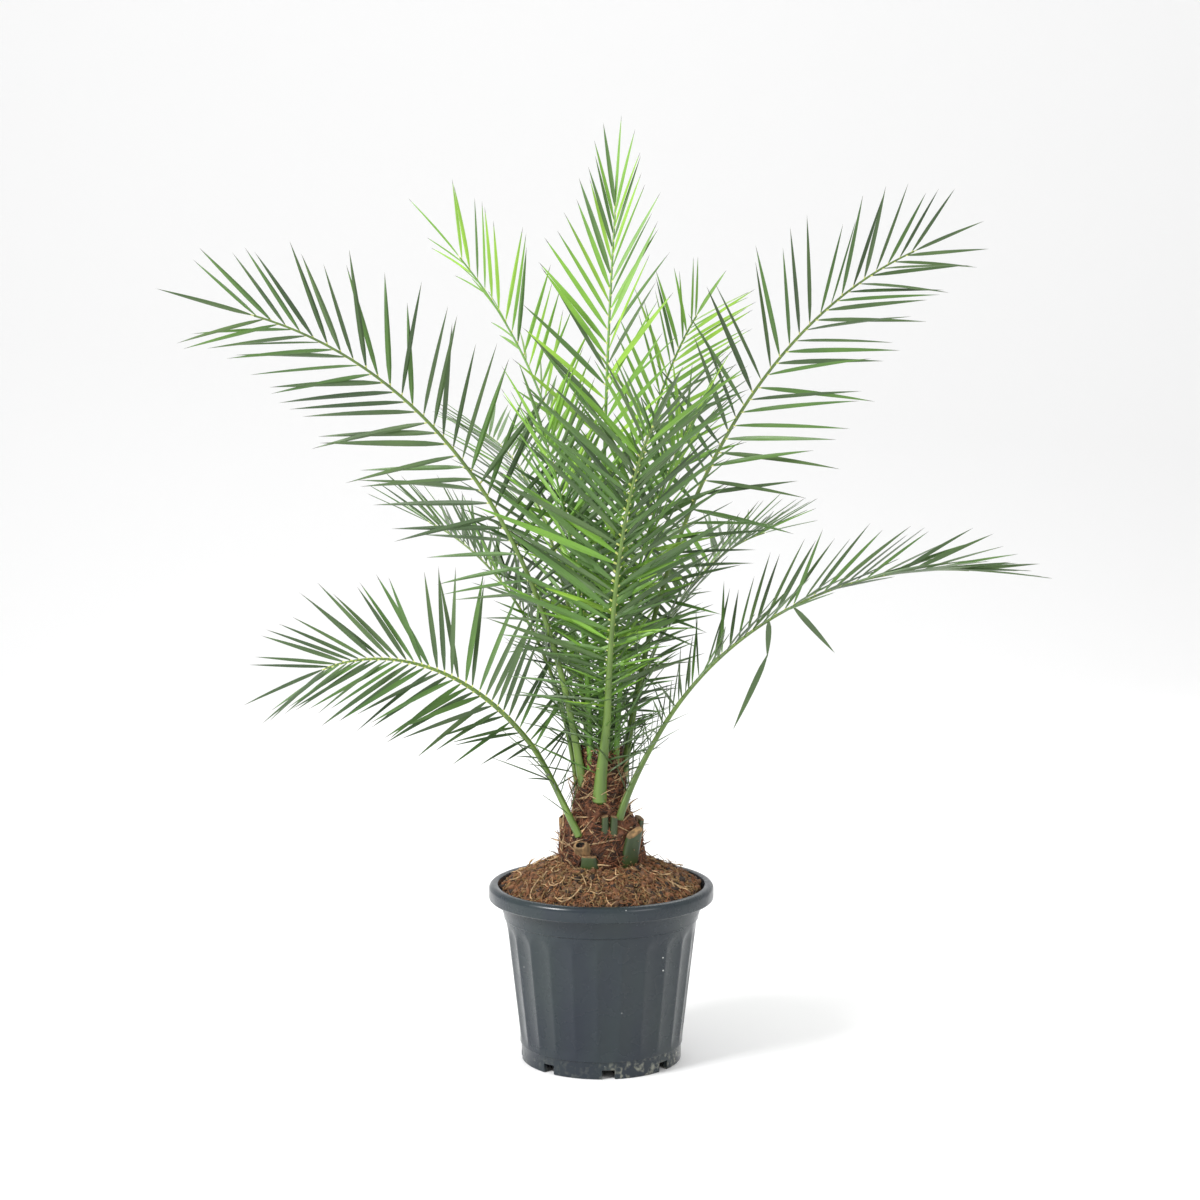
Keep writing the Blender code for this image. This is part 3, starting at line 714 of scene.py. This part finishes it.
def pot_skin():
    """The outline turned round the axis, with the body's panels pressed in."""
    radii, heights = pot_outline().T
    headings = full_turn(PANEL_COUNT * PANEL_POINTS)
    row = np.arange(len(radii)) - len(POT_FOOT)
    is_body = (row >= 0) & (row < BODY_RINGS)
    pressed = 1 + panel_share(headings, heights) * is_body[:, None]
    rings = turned(radii[:, None] * pressed, headings, heights[:, None])
    return skin(rings[None], on_axis(0.0), on_axis(FLOOR_TOP))


def cut_notches(pot):
    """Cuts the drain notches out of the base ring, with one Boolean that is applied."""
    cutters = bpy.data.collections.new("notches")
    bpy.context.scene.collection.children.link(cutters)
    ends = (-0.5, 0.5)
    corners = np.array([(x, y, z) for x in ends for y in ends for z in ends])
    faces = [(0, 1, 3, 2), (4, 6, 7, 5), (0, 4, 5, 1), (2, 3, 7, 6), (0, 2, 6, 4), (1, 5, 7, 3)]
    local = corners * NOTCH_SIZE + (BASE_RING_RADIUS, 0, 0)
    for i in range(NOTCH_COUNT):
        turn = math.radians(NOTCH_HEADING + 360 * i / NOTCH_COUNT)
        x = local[:, 0] * math.cos(turn) - local[:, 1] * math.sin(turn)
        y = local[:, 0] * math.sin(turn) + local[:, 1] * math.cos(turn)
        mesh = bpy.data.meshes.new("notch")
        mesh.from_pydata(np.stack((x, y, local[:, 2]), axis=1).tolist(), [], faces)
        cutters.objects.link(bpy.data.objects.new("notch", mesh))
    cut = pot.modifiers.new("notches", "BOOLEAN")
    cut.operation = "DIFFERENCE"
    cut.operand_type = "COLLECTION"
    cut.collection = cutters
    cut.solver = "EXACT"
    graph = bpy.context.evaluated_depsgraph_get()
    graph.update()
    mesh = bpy.data.meshes.new_from_object(pot.evaluated_get(graph))
    pot.modifiers.clear()
    pot.data = mesh
    for cutter in list(cutters.objects):
        bpy.data.objects.remove(cutter, do_unlink=True)
    bpy.data.collections.remove(cutters)
    mesh.set_sharp_from_angle(angle=math.radians(POT_SHARP_ANGLE))


# Soil


def soil_height(radius):
    """Height of the smooth mound at a radius."""
    radii, heights = zip(*SOIL_HEIGHTS)
    return np.interp(radius, radii, heights)


def soil_skin(rng):
    """The mound with lumps of several sizes, over a skirt that is hidden in the pot."""
    radius = np.linspace(SOIL_HEIGHTS[-1][0], SOIL_TOP_RADIUS, 84)
    skirt_radii, skirt_heights = zip(*SOIL_SKIRT)
    radii = np.concatenate((skirt_radii, radius))
    heights = np.concatenate((skirt_heights, soil_height(radius)))
    rings = turned(radii[:, None], full_turn(300), heights[:, None])
    mound = rings[len(SOIL_SKIRT) :]
    flat = mound.reshape(-1, 3) * (1, 1, 0)
    relief = lumps(flat, SOIL_LUMPS, rng).reshape(mound.shape[:2])
    edge, width, least = SOIL_FADE
    fade = np.clip((edge - radius) / width, least, 1.0)
    mound[..., 2] += relief * fade[:, None]
    return skin(rings[None], on_axis(SOIL_SKIRT[0][1]), on_axis(SOIL_HEIGHTS[0][1]))


def lying_strands(kind, rng):
    """Strands that lie on the mound: arcs in plan, with their ends free to rise a little."""
    count = kind.count
    inner, outer = SCATTER_RADII
    start_radius = np.sqrt(rng.uniform(inner**2, outer**2, count))
    start_heading = rng.uniform(0, 2 * math.pi, count)
    place = turned(start_radius, start_heading, 0)[:, :2]
    turn = rng.uniform(0, 2 * math.pi, count)
    curl = rng.normal(0, 1.6, count)
    size = kind.length * rng.uniform(0.5, 1.5, count)
    share = np.linspace(-0.5, 0.5, STRAND_STATIONS)
    angle = turn[:, None] + curl[:, None] * share
    steps = turned(size[:, None] / STRAND_STATIONS, angle, 0)[..., :2]
    flat = place[:, None] + np.cumsum(steps, axis=1) - steps.sum(axis=1, keepdims=True) / 2
    flat *= np.minimum(1.0, outer / np.linalg.norm(flat, axis=-1, keepdims=True))
    reach = np.linalg.norm(flat, axis=-1)
    rise = kind.loose * rng.uniform(0.0, 1.0, count)[:, None] * (1 + 2 * np.abs(share))
    waver = rng.normal(0, 0.0009, (count, STRAND_STATIONS))
    height = soil_height(reach) + 0.0015 + rise + waver
    paths = np.concatenate((flat, height[..., None]), axis=-1)
    return paths, kind.radius * rng.uniform(0.6, 1.4, (count, 1)) * STRAND_TAPER


def crumb_skin(count, rng):
    """Crumbs of peat in three colours: five-sided beads of uneven width that lie on the mound."""
    inner, outer = CRUMB_RADII
    radius = np.sqrt(rng.uniform(inner**2, outer**2, count))
    heading = rng.uniform(0, 2 * math.pi, count)
    size = rng.gamma(3.0, 0.0009, count).clip(0.0008, 0.0062)
    height = soil_height(radius) + size * 0.4 + rng.normal(0, 0.0010, count)
    middle = turned(radius, heading, height)
    axis = unit(rng.normal(size=(count, 3)))
    share = np.array((-0.7, 0.0, 0.7))
    paths = middle[:, None] + axis[:, None] * share[None, :, None] * size[:, None, None] * 1.3
    widths = size[:, None] * np.array((0.7, 1.0, 0.6)) * rng.uniform(0.7, 1.2, (count, 3))
    return tubes(paths, widths, 5, rng.integers(0, 3, (count, 1)) * np.ones((1, 2), int))


# Trunk


def trunk_radius(height):
    """Radius of the smooth trunk at a height."""
    return np.interp(height, TRUNK_HEIGHTS, TRUNK_RADII)


def trunk_skin(rng):
    """The trunk's taper with a matted relief: lumps, crossing ridges and fine grain."""
    outline = np.array(TRUNK_OUTLINE)
    run = np.concatenate(([0], np.cumsum(np.linalg.norm(np.diff(outline, axis=0), axis=1))))
    along = np.linspace(0, 1, 150) * run[-1]
    radii = np.interp(along, run, outline[:, 0])[:, None]
    heights = np.interp(along, run, outline[:, 1])
    headings = full_turn(280)
    spots = turned(radii, headings, heights[:, None])
    relief = lumps(spots.reshape(-1, 3), TRUNK_LUMPS, rng).reshape(spots.shape[:2])
    for slope in (-1, 1):
        slant = slope * WEAVE_PITCH * heights[:, None]
        wave = np.sin(WEAVE_TURNS * headings + slant + WEAVE_WANDER * relief)
        relief = relief + WEAVE_HEIGHT * np.abs(wave)
    fade = np.clip(radii / TRUNK_FADE_RADIUS, 0.0, 1.0)
    rings = turned(radii + relief * fade, headings, heights[:, None])
    return skin(rings[None], on_axis(heights[0]), on_axis(heights[-1] + 0.001))


def trunk_fibres(kind, rng):
    """Strands wound on a slant round the trunk, whose far ends stand off."""
    count = kind.count
    heading = rng.uniform(0, 2 * math.pi, count)
    height = rng.uniform(*FIBRE_HEIGHTS, count)
    slope = rng.choice((-1, 1), count) * rng.uniform(0.3, 1.5, count)
    length = kind.length * rng.uniform(0.4, 1.5, count)
    share = np.linspace(0, 1, STRAND_STATIONS)
    rise = np.cos(slope)[:, None] * length[:, None] * (share - 0.5)
    level = np.sin(slope)[:, None] * length[:, None] * (share - 0.5)
    high = np.clip(height[:, None] + rise, *FIBRE_END_HEIGHTS)
    base = np.maximum(trunk_radius(high), FIBRE_LEAST_RADIUS)
    around = heading[:, None] + level / base
    away = 0.0022 + kind.loose * rng.uniform(0, 1, (count, 1)) ** 3 * share**2
    reach = base + (away + rng.normal(0, 0.0008, (count, STRAND_STATIONS)))
    paths = turned(reach, around, high)
    return paths, kind.radius * rng.uniform(0.5, 1.5, (count, 1)) * FIBRE_TAPER


def cut_foot_skin(foot):
    """The cut foot of an old frond: a rounded wedge sunk in the trunk, with a pale cut end.

    It narrows upwards, and its end is cut on a slant. The last rings turn inwards over the cut and,
    where it is hollow, down inside. A hollow one is dry all over, but for painted shade, nearly black,
    down inside the hollow.
    """
    turn = full_turn(28)
    round_x = np.sign(np.cos(turn)) * np.abs(np.cos(turn)) ** 0.7
    round_y = np.sign(np.sin(turn)) * np.abs(np.sin(turn)) ** 0.7
    shares = CUT_SHARES.copy()
    shares[-1] -= CUT_HOLLOW_DEPTH * foot.hollow
    x = foot.depth * CUT_SIZES[:, None] * round_x * 0.5
    y = foot.width * CUT_SIZES[:, None] * round_y * 0.5
    z = (shares[:, None] - 0.5) * foot.length + foot.slant * y * shares[:, None]
    tilt = math.radians(foot.lean)
    place = float(trunk_radius(foot.height)) + 0.15 * foot.depth
    out = x * math.cos(tilt) + z * math.sin(tilt) + place
    up = z * math.cos(tilt) - x * math.sin(tilt) + foot.height
    angle = math.radians(foot.heading)
    across = out * math.cos(angle) - y * math.sin(angle)
    along = out * math.sin(angle) + y * math.cos(angle)
    rings = np.stack((across, along, up), axis=-1)[None]
    # The last stretch of a hollow foot, down inside the hollow, is painted shade.
    kinds = np.array([[1, 1, 1, 1, 1, 1, 1, 2]] if foot.hollow else [[0, 0, 0, 0, 0, 1, 1, 1]])
    return skin(rings, rings[:, 0].mean(axis=1), rings[:, -1].mean(axis=1), kinds)


# Fronds


def ease(share):
    """A smooth way from nought to one."""
    share = np.clip(share, 0.0, 1.0)
    return share * share * (3 - 2 * share)


def stalk_path(frond):
    """Shares of the length, points, and the frames along it: forwards, to the left side, and up.

    The rise falls from start to end as a power of the share of the length, the heading turns
    evenly by the sweep, and the frame rolls about the stalk over its first half.
    """
    share = np.linspace(0.0, 1.0, PATH_STEPS)
    rise = np.radians(frond.start + (frond.end - frond.start) * share**frond.bend)
    heading = np.radians(frond.heading + frond.sweep * share)
    forward = turned(np.cos(rise), heading, np.sin(rise))
    level = np.stack((-np.sin(heading), np.cos(heading), np.zeros(PATH_STEPS)), axis=1)
    above = np.cross(forward, level)
    roll = (np.radians(frond.roll) * ease(share / ROLL_REACH))[:, None]
    side = np.cos(roll) * level + np.sin(roll) * above
    up = np.cos(roll) * above - np.sin(roll) * level
    moves = (forward[1:] + forward[:-1]) / 2 * frond.length / (PATH_STEPS - 1)
    foot = turned(frond.foot_radius, math.radians(frond.foot_heading), frond.foot_height)
    points = np.concatenate((np.zeros((1, 3)), np.cumsum(moves, axis=0))) + foot
    return share, points, forward, side, up


def stalk_foot(name, frond, path):
    """The path with its first stretch swung to a foot on the trunk's skin, where the frond has one."""
    if name not in STALK_FEET:
        return path
    heading, height = STALK_FEET[name]
    foot = turned(trunk_radius(height), math.radians(heading), height)
    share, points, *frames = path
    fade = 1 - ease(share * frond.length / STALK_FOOT_REACH)
    return (share, points + (foot - points[0]) * fade[:, None], *frames)


def at_shares(path, wanted):
    """Points and frames at shares of the stalk's length, as rows."""
    share = path[0]
    found = [
        np.stack([np.interp(wanted, share, column) for column in part.T], axis=1)
        for part in path[1:]
    ]
    return [found[0]] + [unit(part) for part in found[1:]]


def stalk_widths(frond, share):
    """Width that falls along the stalk, with a flare that dies out above its foot."""
    flare = frond.width - STALK_TIP_WIDTH - STALK_SPREAD
    fall = STALK_SPREAD * (1 - share)
    return STALK_TIP_WIDTH + fall + flare * np.exp(-share * frond.length / STALK_FLARE_LENGTH)


def stalk_skin(frond, path):
    """Rings with a nearly flat top and a keeled underside, carried along the path."""
    share = np.linspace(0.0, 1.0, STALK_STATIONS) ** 1.15
    point, forward, side, up = at_shares(path, share)
    width = stalk_widths(frond, share)
    depth = STALK_DEPTH_SHARE * width
    turn = full_turn(STALK_SIDES)
    rise = np.sin(turn) * np.where(np.sin(turn) > 0, 1 / 3, 2 / 3)
    rings = (
        point[:, None]
        + side[:, None] * (width[:, None] / 2 * np.cos(turn))[..., None]
        + up[:, None] * (depth[:, None] * rise)[..., None]
    )
    foot = point[:1] - forward[:1] * width[0] * STALK_FOOT_POINT
    # The left side, up and forwards make a right-handed set with the order turned round.
    return skin(rings[None, :, ::-1], foot, point[-1:])


def off_stalk(path, share, side, angle, lift):
    """Roots, directions and upper sides of leaflets at an angle off the stalk, lifted to its top."""
    point, forward, sideways, up = at_shares(path, share)
    angle = np.radians(angle)[:, None]
    lift = np.radians(lift)[:, None]
    outwards = np.cos(lift) * side[:, None] * sideways + np.sin(lift) * up
    direction = np.cos(angle) * forward + np.sin(angle) * outwards
    blade_up = np.cos(lift) * up - np.sin(lift) * side[:, None] * sideways
    return point, direction, blade_up


def leaflet_rows(name, frond, path, sizes, rng):
    """Both rows of leaflets and the one at the end, by the rule of angle, lift and length."""
    pairs = sizes.leaflet_pairs
    side = np.tile((-1.0, 1.0), pairs)
    place = (np.repeat(np.arange(pairs), 2) + 0.5 + 0.25 * side) / pairs
    count = len(place)
    fall = CLOSING_FALL.get(name, ANGLE_FALL)
    scatter = rng.uniform(-5, 5, count) * (3 - 2 * place)
    angle = frond.spread * (LOW_ANGLE - fall * place**ANGLE_POWER) + scatter
    lift = 24 + rng.uniform(-11, 11, count)
    along = np.interp(place, *zip(*LENGTH_ALONG))
    length = frond.leaflet * along * rng.uniform(0.86, 1.04, count)
    share = FIRST_LEAFLET + (1 - FIRST_LEAFLET) * place
    ends = (path[1][-1:], path[2][-1:], path[4][-1:])
    rows = zip(off_stalk(path, share, side, angle, lift), ends)
    point, direction, blade_up = (np.concatenate(pair) for pair in rows)
    length = np.concatenate((length, [frond.leaflet * END_LEAFLET_SHARE]))
    count += 1
    across = unit(np.cross(direction, blade_up))
    roll = np.radians(rng.normal(0, 12, count))[:, None]
    blade_up = np.cos(roll) * blade_up + np.sin(roll) * across
    sag = rng.uniform(0.01, 0.05, (count, 1)) * -UP
    width = sizes.leaflet_width * length * rng.uniform(0.85, 1.10, count)
    width[:-1] *= np.interp(place, *zip(*WIDTH_ALONG))
    parts = np.array(frond.shades)
    kinds = blade_kinds(rng.choice(len(LEAF_SHADES), count, p=parts / parts.sum()))
    kinds[:, 0] = FOOT_SHADE
    made = blades(point, direction, blade_up, length, width, sizes.leaflet_fold, sag, kinds)
    is_tip = np.tile(np.repeat((False, True), LEAFLET_SIDES), count)
    return made._replace(triangle_kinds=np.where(is_tip, TIP_SHADE, made.triangle_kinds))


def thread_rows(frond, path, count, rng):
    """Thin stiff leaves low on the stalk, where the leaflets turn to threads."""
    share = rng.uniform(0.05, FIRST_LEAFLET + 0.03, count)
    side = rng.choice((-1.0, 1.0), count)
    angle = rng.uniform(28, 75, count)
    lift = rng.uniform(-20, 60, count)
    point, direction, _ = off_stalk(path, share, side, angle, lift)
    up = at_shares(path, share)[3]
    length = frond.leaflet * rng.uniform(0.35, 0.85, count)
    width = rng.uniform(0.0020, 0.0036, count)
    sag = rng.uniform(0.0, 0.10, (count, 1)) * -UP
    kinds = blade_kinds(rng.choice((0, 1, 1, 2), count))
    return blades(point, direction, up, length, width, 0.4, sag, kinds)


def stray_rows(path, leaflet_width):
    """The stray leaflets of the low right frond: one that points down, and a creased one that hangs."""
    share, direction, length = (np.array(column) for column in zip(*STRAY_LEAFLETS))
    count = len(share)
    direction = unit(direction)
    root = at_shares(path, share)[0]
    root[-1] = root[-2] + direction[-2] * length[-2] * STRAY_CREASE
    up = np.tile((0.3, -1.0, 0.2), (count, 1))
    width = np.full(count, STRAY_FULL_LENGTH * leaflet_width)
    kinds = blade_kinds(np.full(count, 1))
    return blades(root, direction, up, length, width, 0.3, np.zeros((count, 3)), kinds)


def frond_nodes(name):
    """The frame's nodes of this frond: one, or a near and a far one."""
    nodes = [found for found in sorted(frame["nodes"]) if found in (name, name + "_near", name + "_far")]
    if not nodes:
        raise RuntimeError(f"The frame has no node for {name}")
    return nodes


# Operators


class PALM_OT_pot(Operator):
    """Makes the moulded pot with its panels, collar, lip and drain notches"""

    bl_idname = "palm.make_pot"
    bl_label = "Pot"

    def execute(self, context):
        plastic = pot_material(tuple(context.scene.palm_colours.pot))
        pot = add_piece("pot_shell", pot_skin(), [plastic], ["pot"], POT_SHARP_ANGLE)
        cut_notches(pot)
        return {"FINISHED"}


class PALM_OT_soil(Operator):
    """Makes the heaped soil with its crumbs and strands"""

    bl_idname = "palm.make_soil"
    bl_label = "Soil"

    def execute(self, context):
        sizes = context.scene.palm_sizes
        colours = context.scene.palm_colours
        soil, red, straw = tuple(colours.soil), tuple(colours.red_fibre), tuple(colours.straw)
        rng = np.random.default_rng(SEED)
        add_piece("soil_mound", soil_skin(rng), [earth_material(soil, red)], ["soil"])
        crumb_looks = [
            fibre_material("crumb_dark", tinted(soil, 0.4)),
            fibre_material("crumb_brown", tinted(soil, 2.2)),
            fibre_material("crumb_red", tinted(red, 0.6)),
        ]
        add_piece("soil_crumbs", crumb_skin(sizes.crumbs, rng), crumb_looks)
        brown = tinted(straw, 0.48, (1.0, 0.95, 0.75))
        pale = tinted(straw, 0.8)
        count = sizes.strands // 2
        kinds = (
            Strands("soil_brown_strands", "brown_fibre", brown, count, 0.020, 0.00070, 0.0040, 3),
            Strands("soil_red_strands", "red_fibre", red, count, 0.024, 0.00065, 0.0040, 3),
            Strands("soil_straws", "straw_fibre", pale, 110, 0.038, 0.00085, 0.0080, 5),
        )
        for kind in kinds:
            made = tubes(*lying_strands(kind, rng), kind.sides)
            add_piece(kind.piece, made, [fibre_material(kind.look, kind.colour)])
        return {"FINISHED"}


class PALM_OT_trunk(Operator):
    """Makes the fibrous trunk with its cut leaf feet and ragged fibres"""

    bl_idname = "palm.make_trunk"
    bl_label = "Trunk"

    def execute(self, context):
        colours = context.scene.palm_colours
        bark = tuple(colours.bark)
        rng = np.random.default_rng(SEED + 1)
        mat = fibre_material("trunk_mat", bark, 0.9)
        add_piece("trunk_bark", trunk_skin(rng), [mat], ["trunk"])
        fine, dark = tinted(bark, 2.1), tinted(bark, 0.35)
        pale = tinted(tuple(colours.straw), 0.62)
        count = context.scene.palm_sizes.fibres
        kinds = (
            Strands("trunk_fibres", "trunk_fibre", fine, count, 0.030, 0.00060, 0.014, 3),
            Strands("trunk_dark_fibres", "trunk_dark", dark, count // 2, 0.034, 0.00110, 0.006, 4),
            Strands("trunk_straps", "trunk_straps", pale, count // 6, 0.040, 0.00115, 0.026, 5),
        )
        for kind in kinds:
            made = tubes(*trunk_fibres(kind, rng), kind.sides)
            add_piece(kind.piece, made, [fibre_material(kind.look, kind.colour)])
        foot_looks = [
            stalk_material("leaf_foot_skin", (0.026, 0.048, 0.012)),
            fibre_material("leaf_foot_cut", (0.190, 0.115, 0.050)),
            # Painted shade: near-black for the inside of the hollow feet.
            plain_material("leaf_foot_hollow", (0.010, 0.008, 0.006), 0.95),
        ]
        feet = joined([cut_foot_skin(CutFoot(*foot)) for foot in CUT_FEET])
        add_piece("trunk_leaf_feet", feet, foot_looks, sharp=40)
        return {"FINISHED"}


class PALM_OT_fronds(Operator):
    """Grows each frond: its stalk, two rows of folded leaflets and the threads at its foot"""

    bl_idname = "palm.grow_fronds"
    bl_label = "Fronds"

    def execute(self, context):
        sizes = context.scene.palm_sizes
        colours = context.scene.palm_colours
        leaf = [leaf_material("leaf_" + shade, tuple(getattr(colours, shade))) for shade in LEAF_SHADES]
        leaf.append(plain_material("leaflet_foot", tuple(colours.foot), 0.5))
        leaf.append(plain_material("leaflet_tip", tuple(colours.tip), 0.6))
        stalk = tuple(colours.stalk)
        looks = {
            "leaf": stalk_material("stalk_old", tinted(stalk, 0.80)),
            "young_leaf": stalk_material("stalk_young", tinted(stalk, 0.95, (0.8, 1.1, 0.7))),
        }
        for number, (name, frond) in enumerate(FRONDS.items()):
            piece = "frond_" + name
            nodes = frond_nodes(piece)
            rng = np.random.default_rng((SEED, number))
            path = stalk_foot(name, frond, stalk_path(frond))
            slot = "young_leaf" if name in YOUNG_FRONDS else "leaf"
            add_piece(piece + "_stalk", stalk_skin(frond, path), [looks[slot]], nodes, 50)
            rows = [
                leaflet_rows(name, frond, path, sizes, rng),
                thread_rows(frond, path, sizes.threads, rng),
            ]
            if name == STRAY_FROND:
                rows.append(stray_rows(path, sizes.leaflet_width))
            add_piece(piece + "_leaflets", joined(rows), leaf, nodes, 20)
        return {"FINISHED"}


def add_backdrop():
    """A pale floor that curves up behind the plant."""
    front, foot, curve, top, half = -9.0, 4.0, 3.0, 12.0, 12.0
    turn = np.linspace(0, math.pi / 2, 16)
    depth = np.concatenate(([front], foot + curve * np.sin(turn), [foot + curve]))
    height = np.concatenate(([0.0], curve - curve * np.cos(turn), [top]))
    points = [(x, y, z) for y, z in zip(depth, height) for x in (-half, half)]
    faces = [(2 * i, 2 * i + 1, 2 * i + 3, 2 * i + 2) for i in range(len(depth) - 1)]
    mesh = bpy.data.meshes.new("floor")
    mesh.from_pydata(points, [], faces)
    mesh.shade_smooth()
    mesh.materials.append(plain_material("floor_paint", (0.93,) * 3, 0.9))
    floor = placed("floor", mesh)


def add_lamp(name, place, size, power):
    """A square lamp that faces the middle of the plant."""
    light = bpy.data.lights.new(name, "AREA")
    light.size = size
    light.energy = power
    lamp = placed(name, light)
    lamp.location = place
    x, y, z = LAMP_TARGET - place
    tilt = math.atan2(math.hypot(x, y), -z)
    lamp.rotation_euler = Euler((tilt, 0.0, math.atan2(y, x) - math.pi / 2))


def add_camera(scene):
    """The camera that the photo's outline was worked out with."""
    lens = bpy.data.cameras.new("camera")
    lens.lens = 69.0
    lens.sensor_width = 36.0
    camera = placed("camera", lens)
    camera.location = (-0.002, -3.62, 1.12)
    camera.rotation_euler = Euler((math.radians(84.0), 0.0, 0.0))
    scene.camera = camera


class PALM_OT_stage(Operator):
    """Sets the pale floor with its curved backdrop, the soft light and the camera"""

    bl_idname = "palm.set_stage"
    bl_label = "Stage"

    def execute(self, context):
        scene = context.scene
        add_backdrop()
        world = bpy.data.worlds.new("studio")
        world.use_nodes = True
        background = world.node_tree.nodes["Background"]
        background.inputs["Color"].default_value = (1.0, 1.0, 1.0, 1.0)
        background.inputs["Strength"].default_value = 0.76
        scene.world = world
        for lamp in LAMPS:
            add_lamp(*lamp)
        add_camera(scene)
        scene.view_settings.view_transform = "Standard"
        return {"FINISHED"}


class PALM_PT_dressing(Panel):
    """Sizes, colours and the steps that dress the palm"""

    bl_label = "Potted date palm"
    bl_idname = "PALM_PT_dressing"
    bl_space_type = "VIEW_3D"
    bl_region_type = "UI"
    bl_category = "Palm"

    def draw(self, context):
        for group in (context.scene.palm_sizes, context.scene.palm_colours):
            for name in group.__annotations__:
                self.layout.prop(group, name)
        for step in STEPS:
            self.layout.operator(step.bl_idname)


STEPS = (PALM_OT_pot, PALM_OT_soil, PALM_OT_trunk, PALM_OT_fronds, PALM_OT_stage)
CLASSES = (PalmSizes, PalmColours, *STEPS, PALM_PT_dressing)


def register():
    for one in CLASSES:
        bpy.utils.register_class(one)
    bpy.types.Scene.palm_sizes = PointerProperty(type=PalmSizes)
    bpy.types.Scene.palm_colours = PointerProperty(type=PalmColours)


def unregister():
    del bpy.types.Scene.palm_colours
    del bpy.types.Scene.palm_sizes
    for one in reversed(CLASSES):
        bpy.utils.unregister_class(one)


def main():
    """Dresses the palm step by step."""
    register()
    bpy.ops.palm.make_pot()
    bpy.ops.palm.make_soil()
    bpy.ops.palm.make_trunk()
    bpy.ops.palm.grow_fronds()
    bpy.ops.palm.set_stage()


if __name__ == "__main__":
    main()
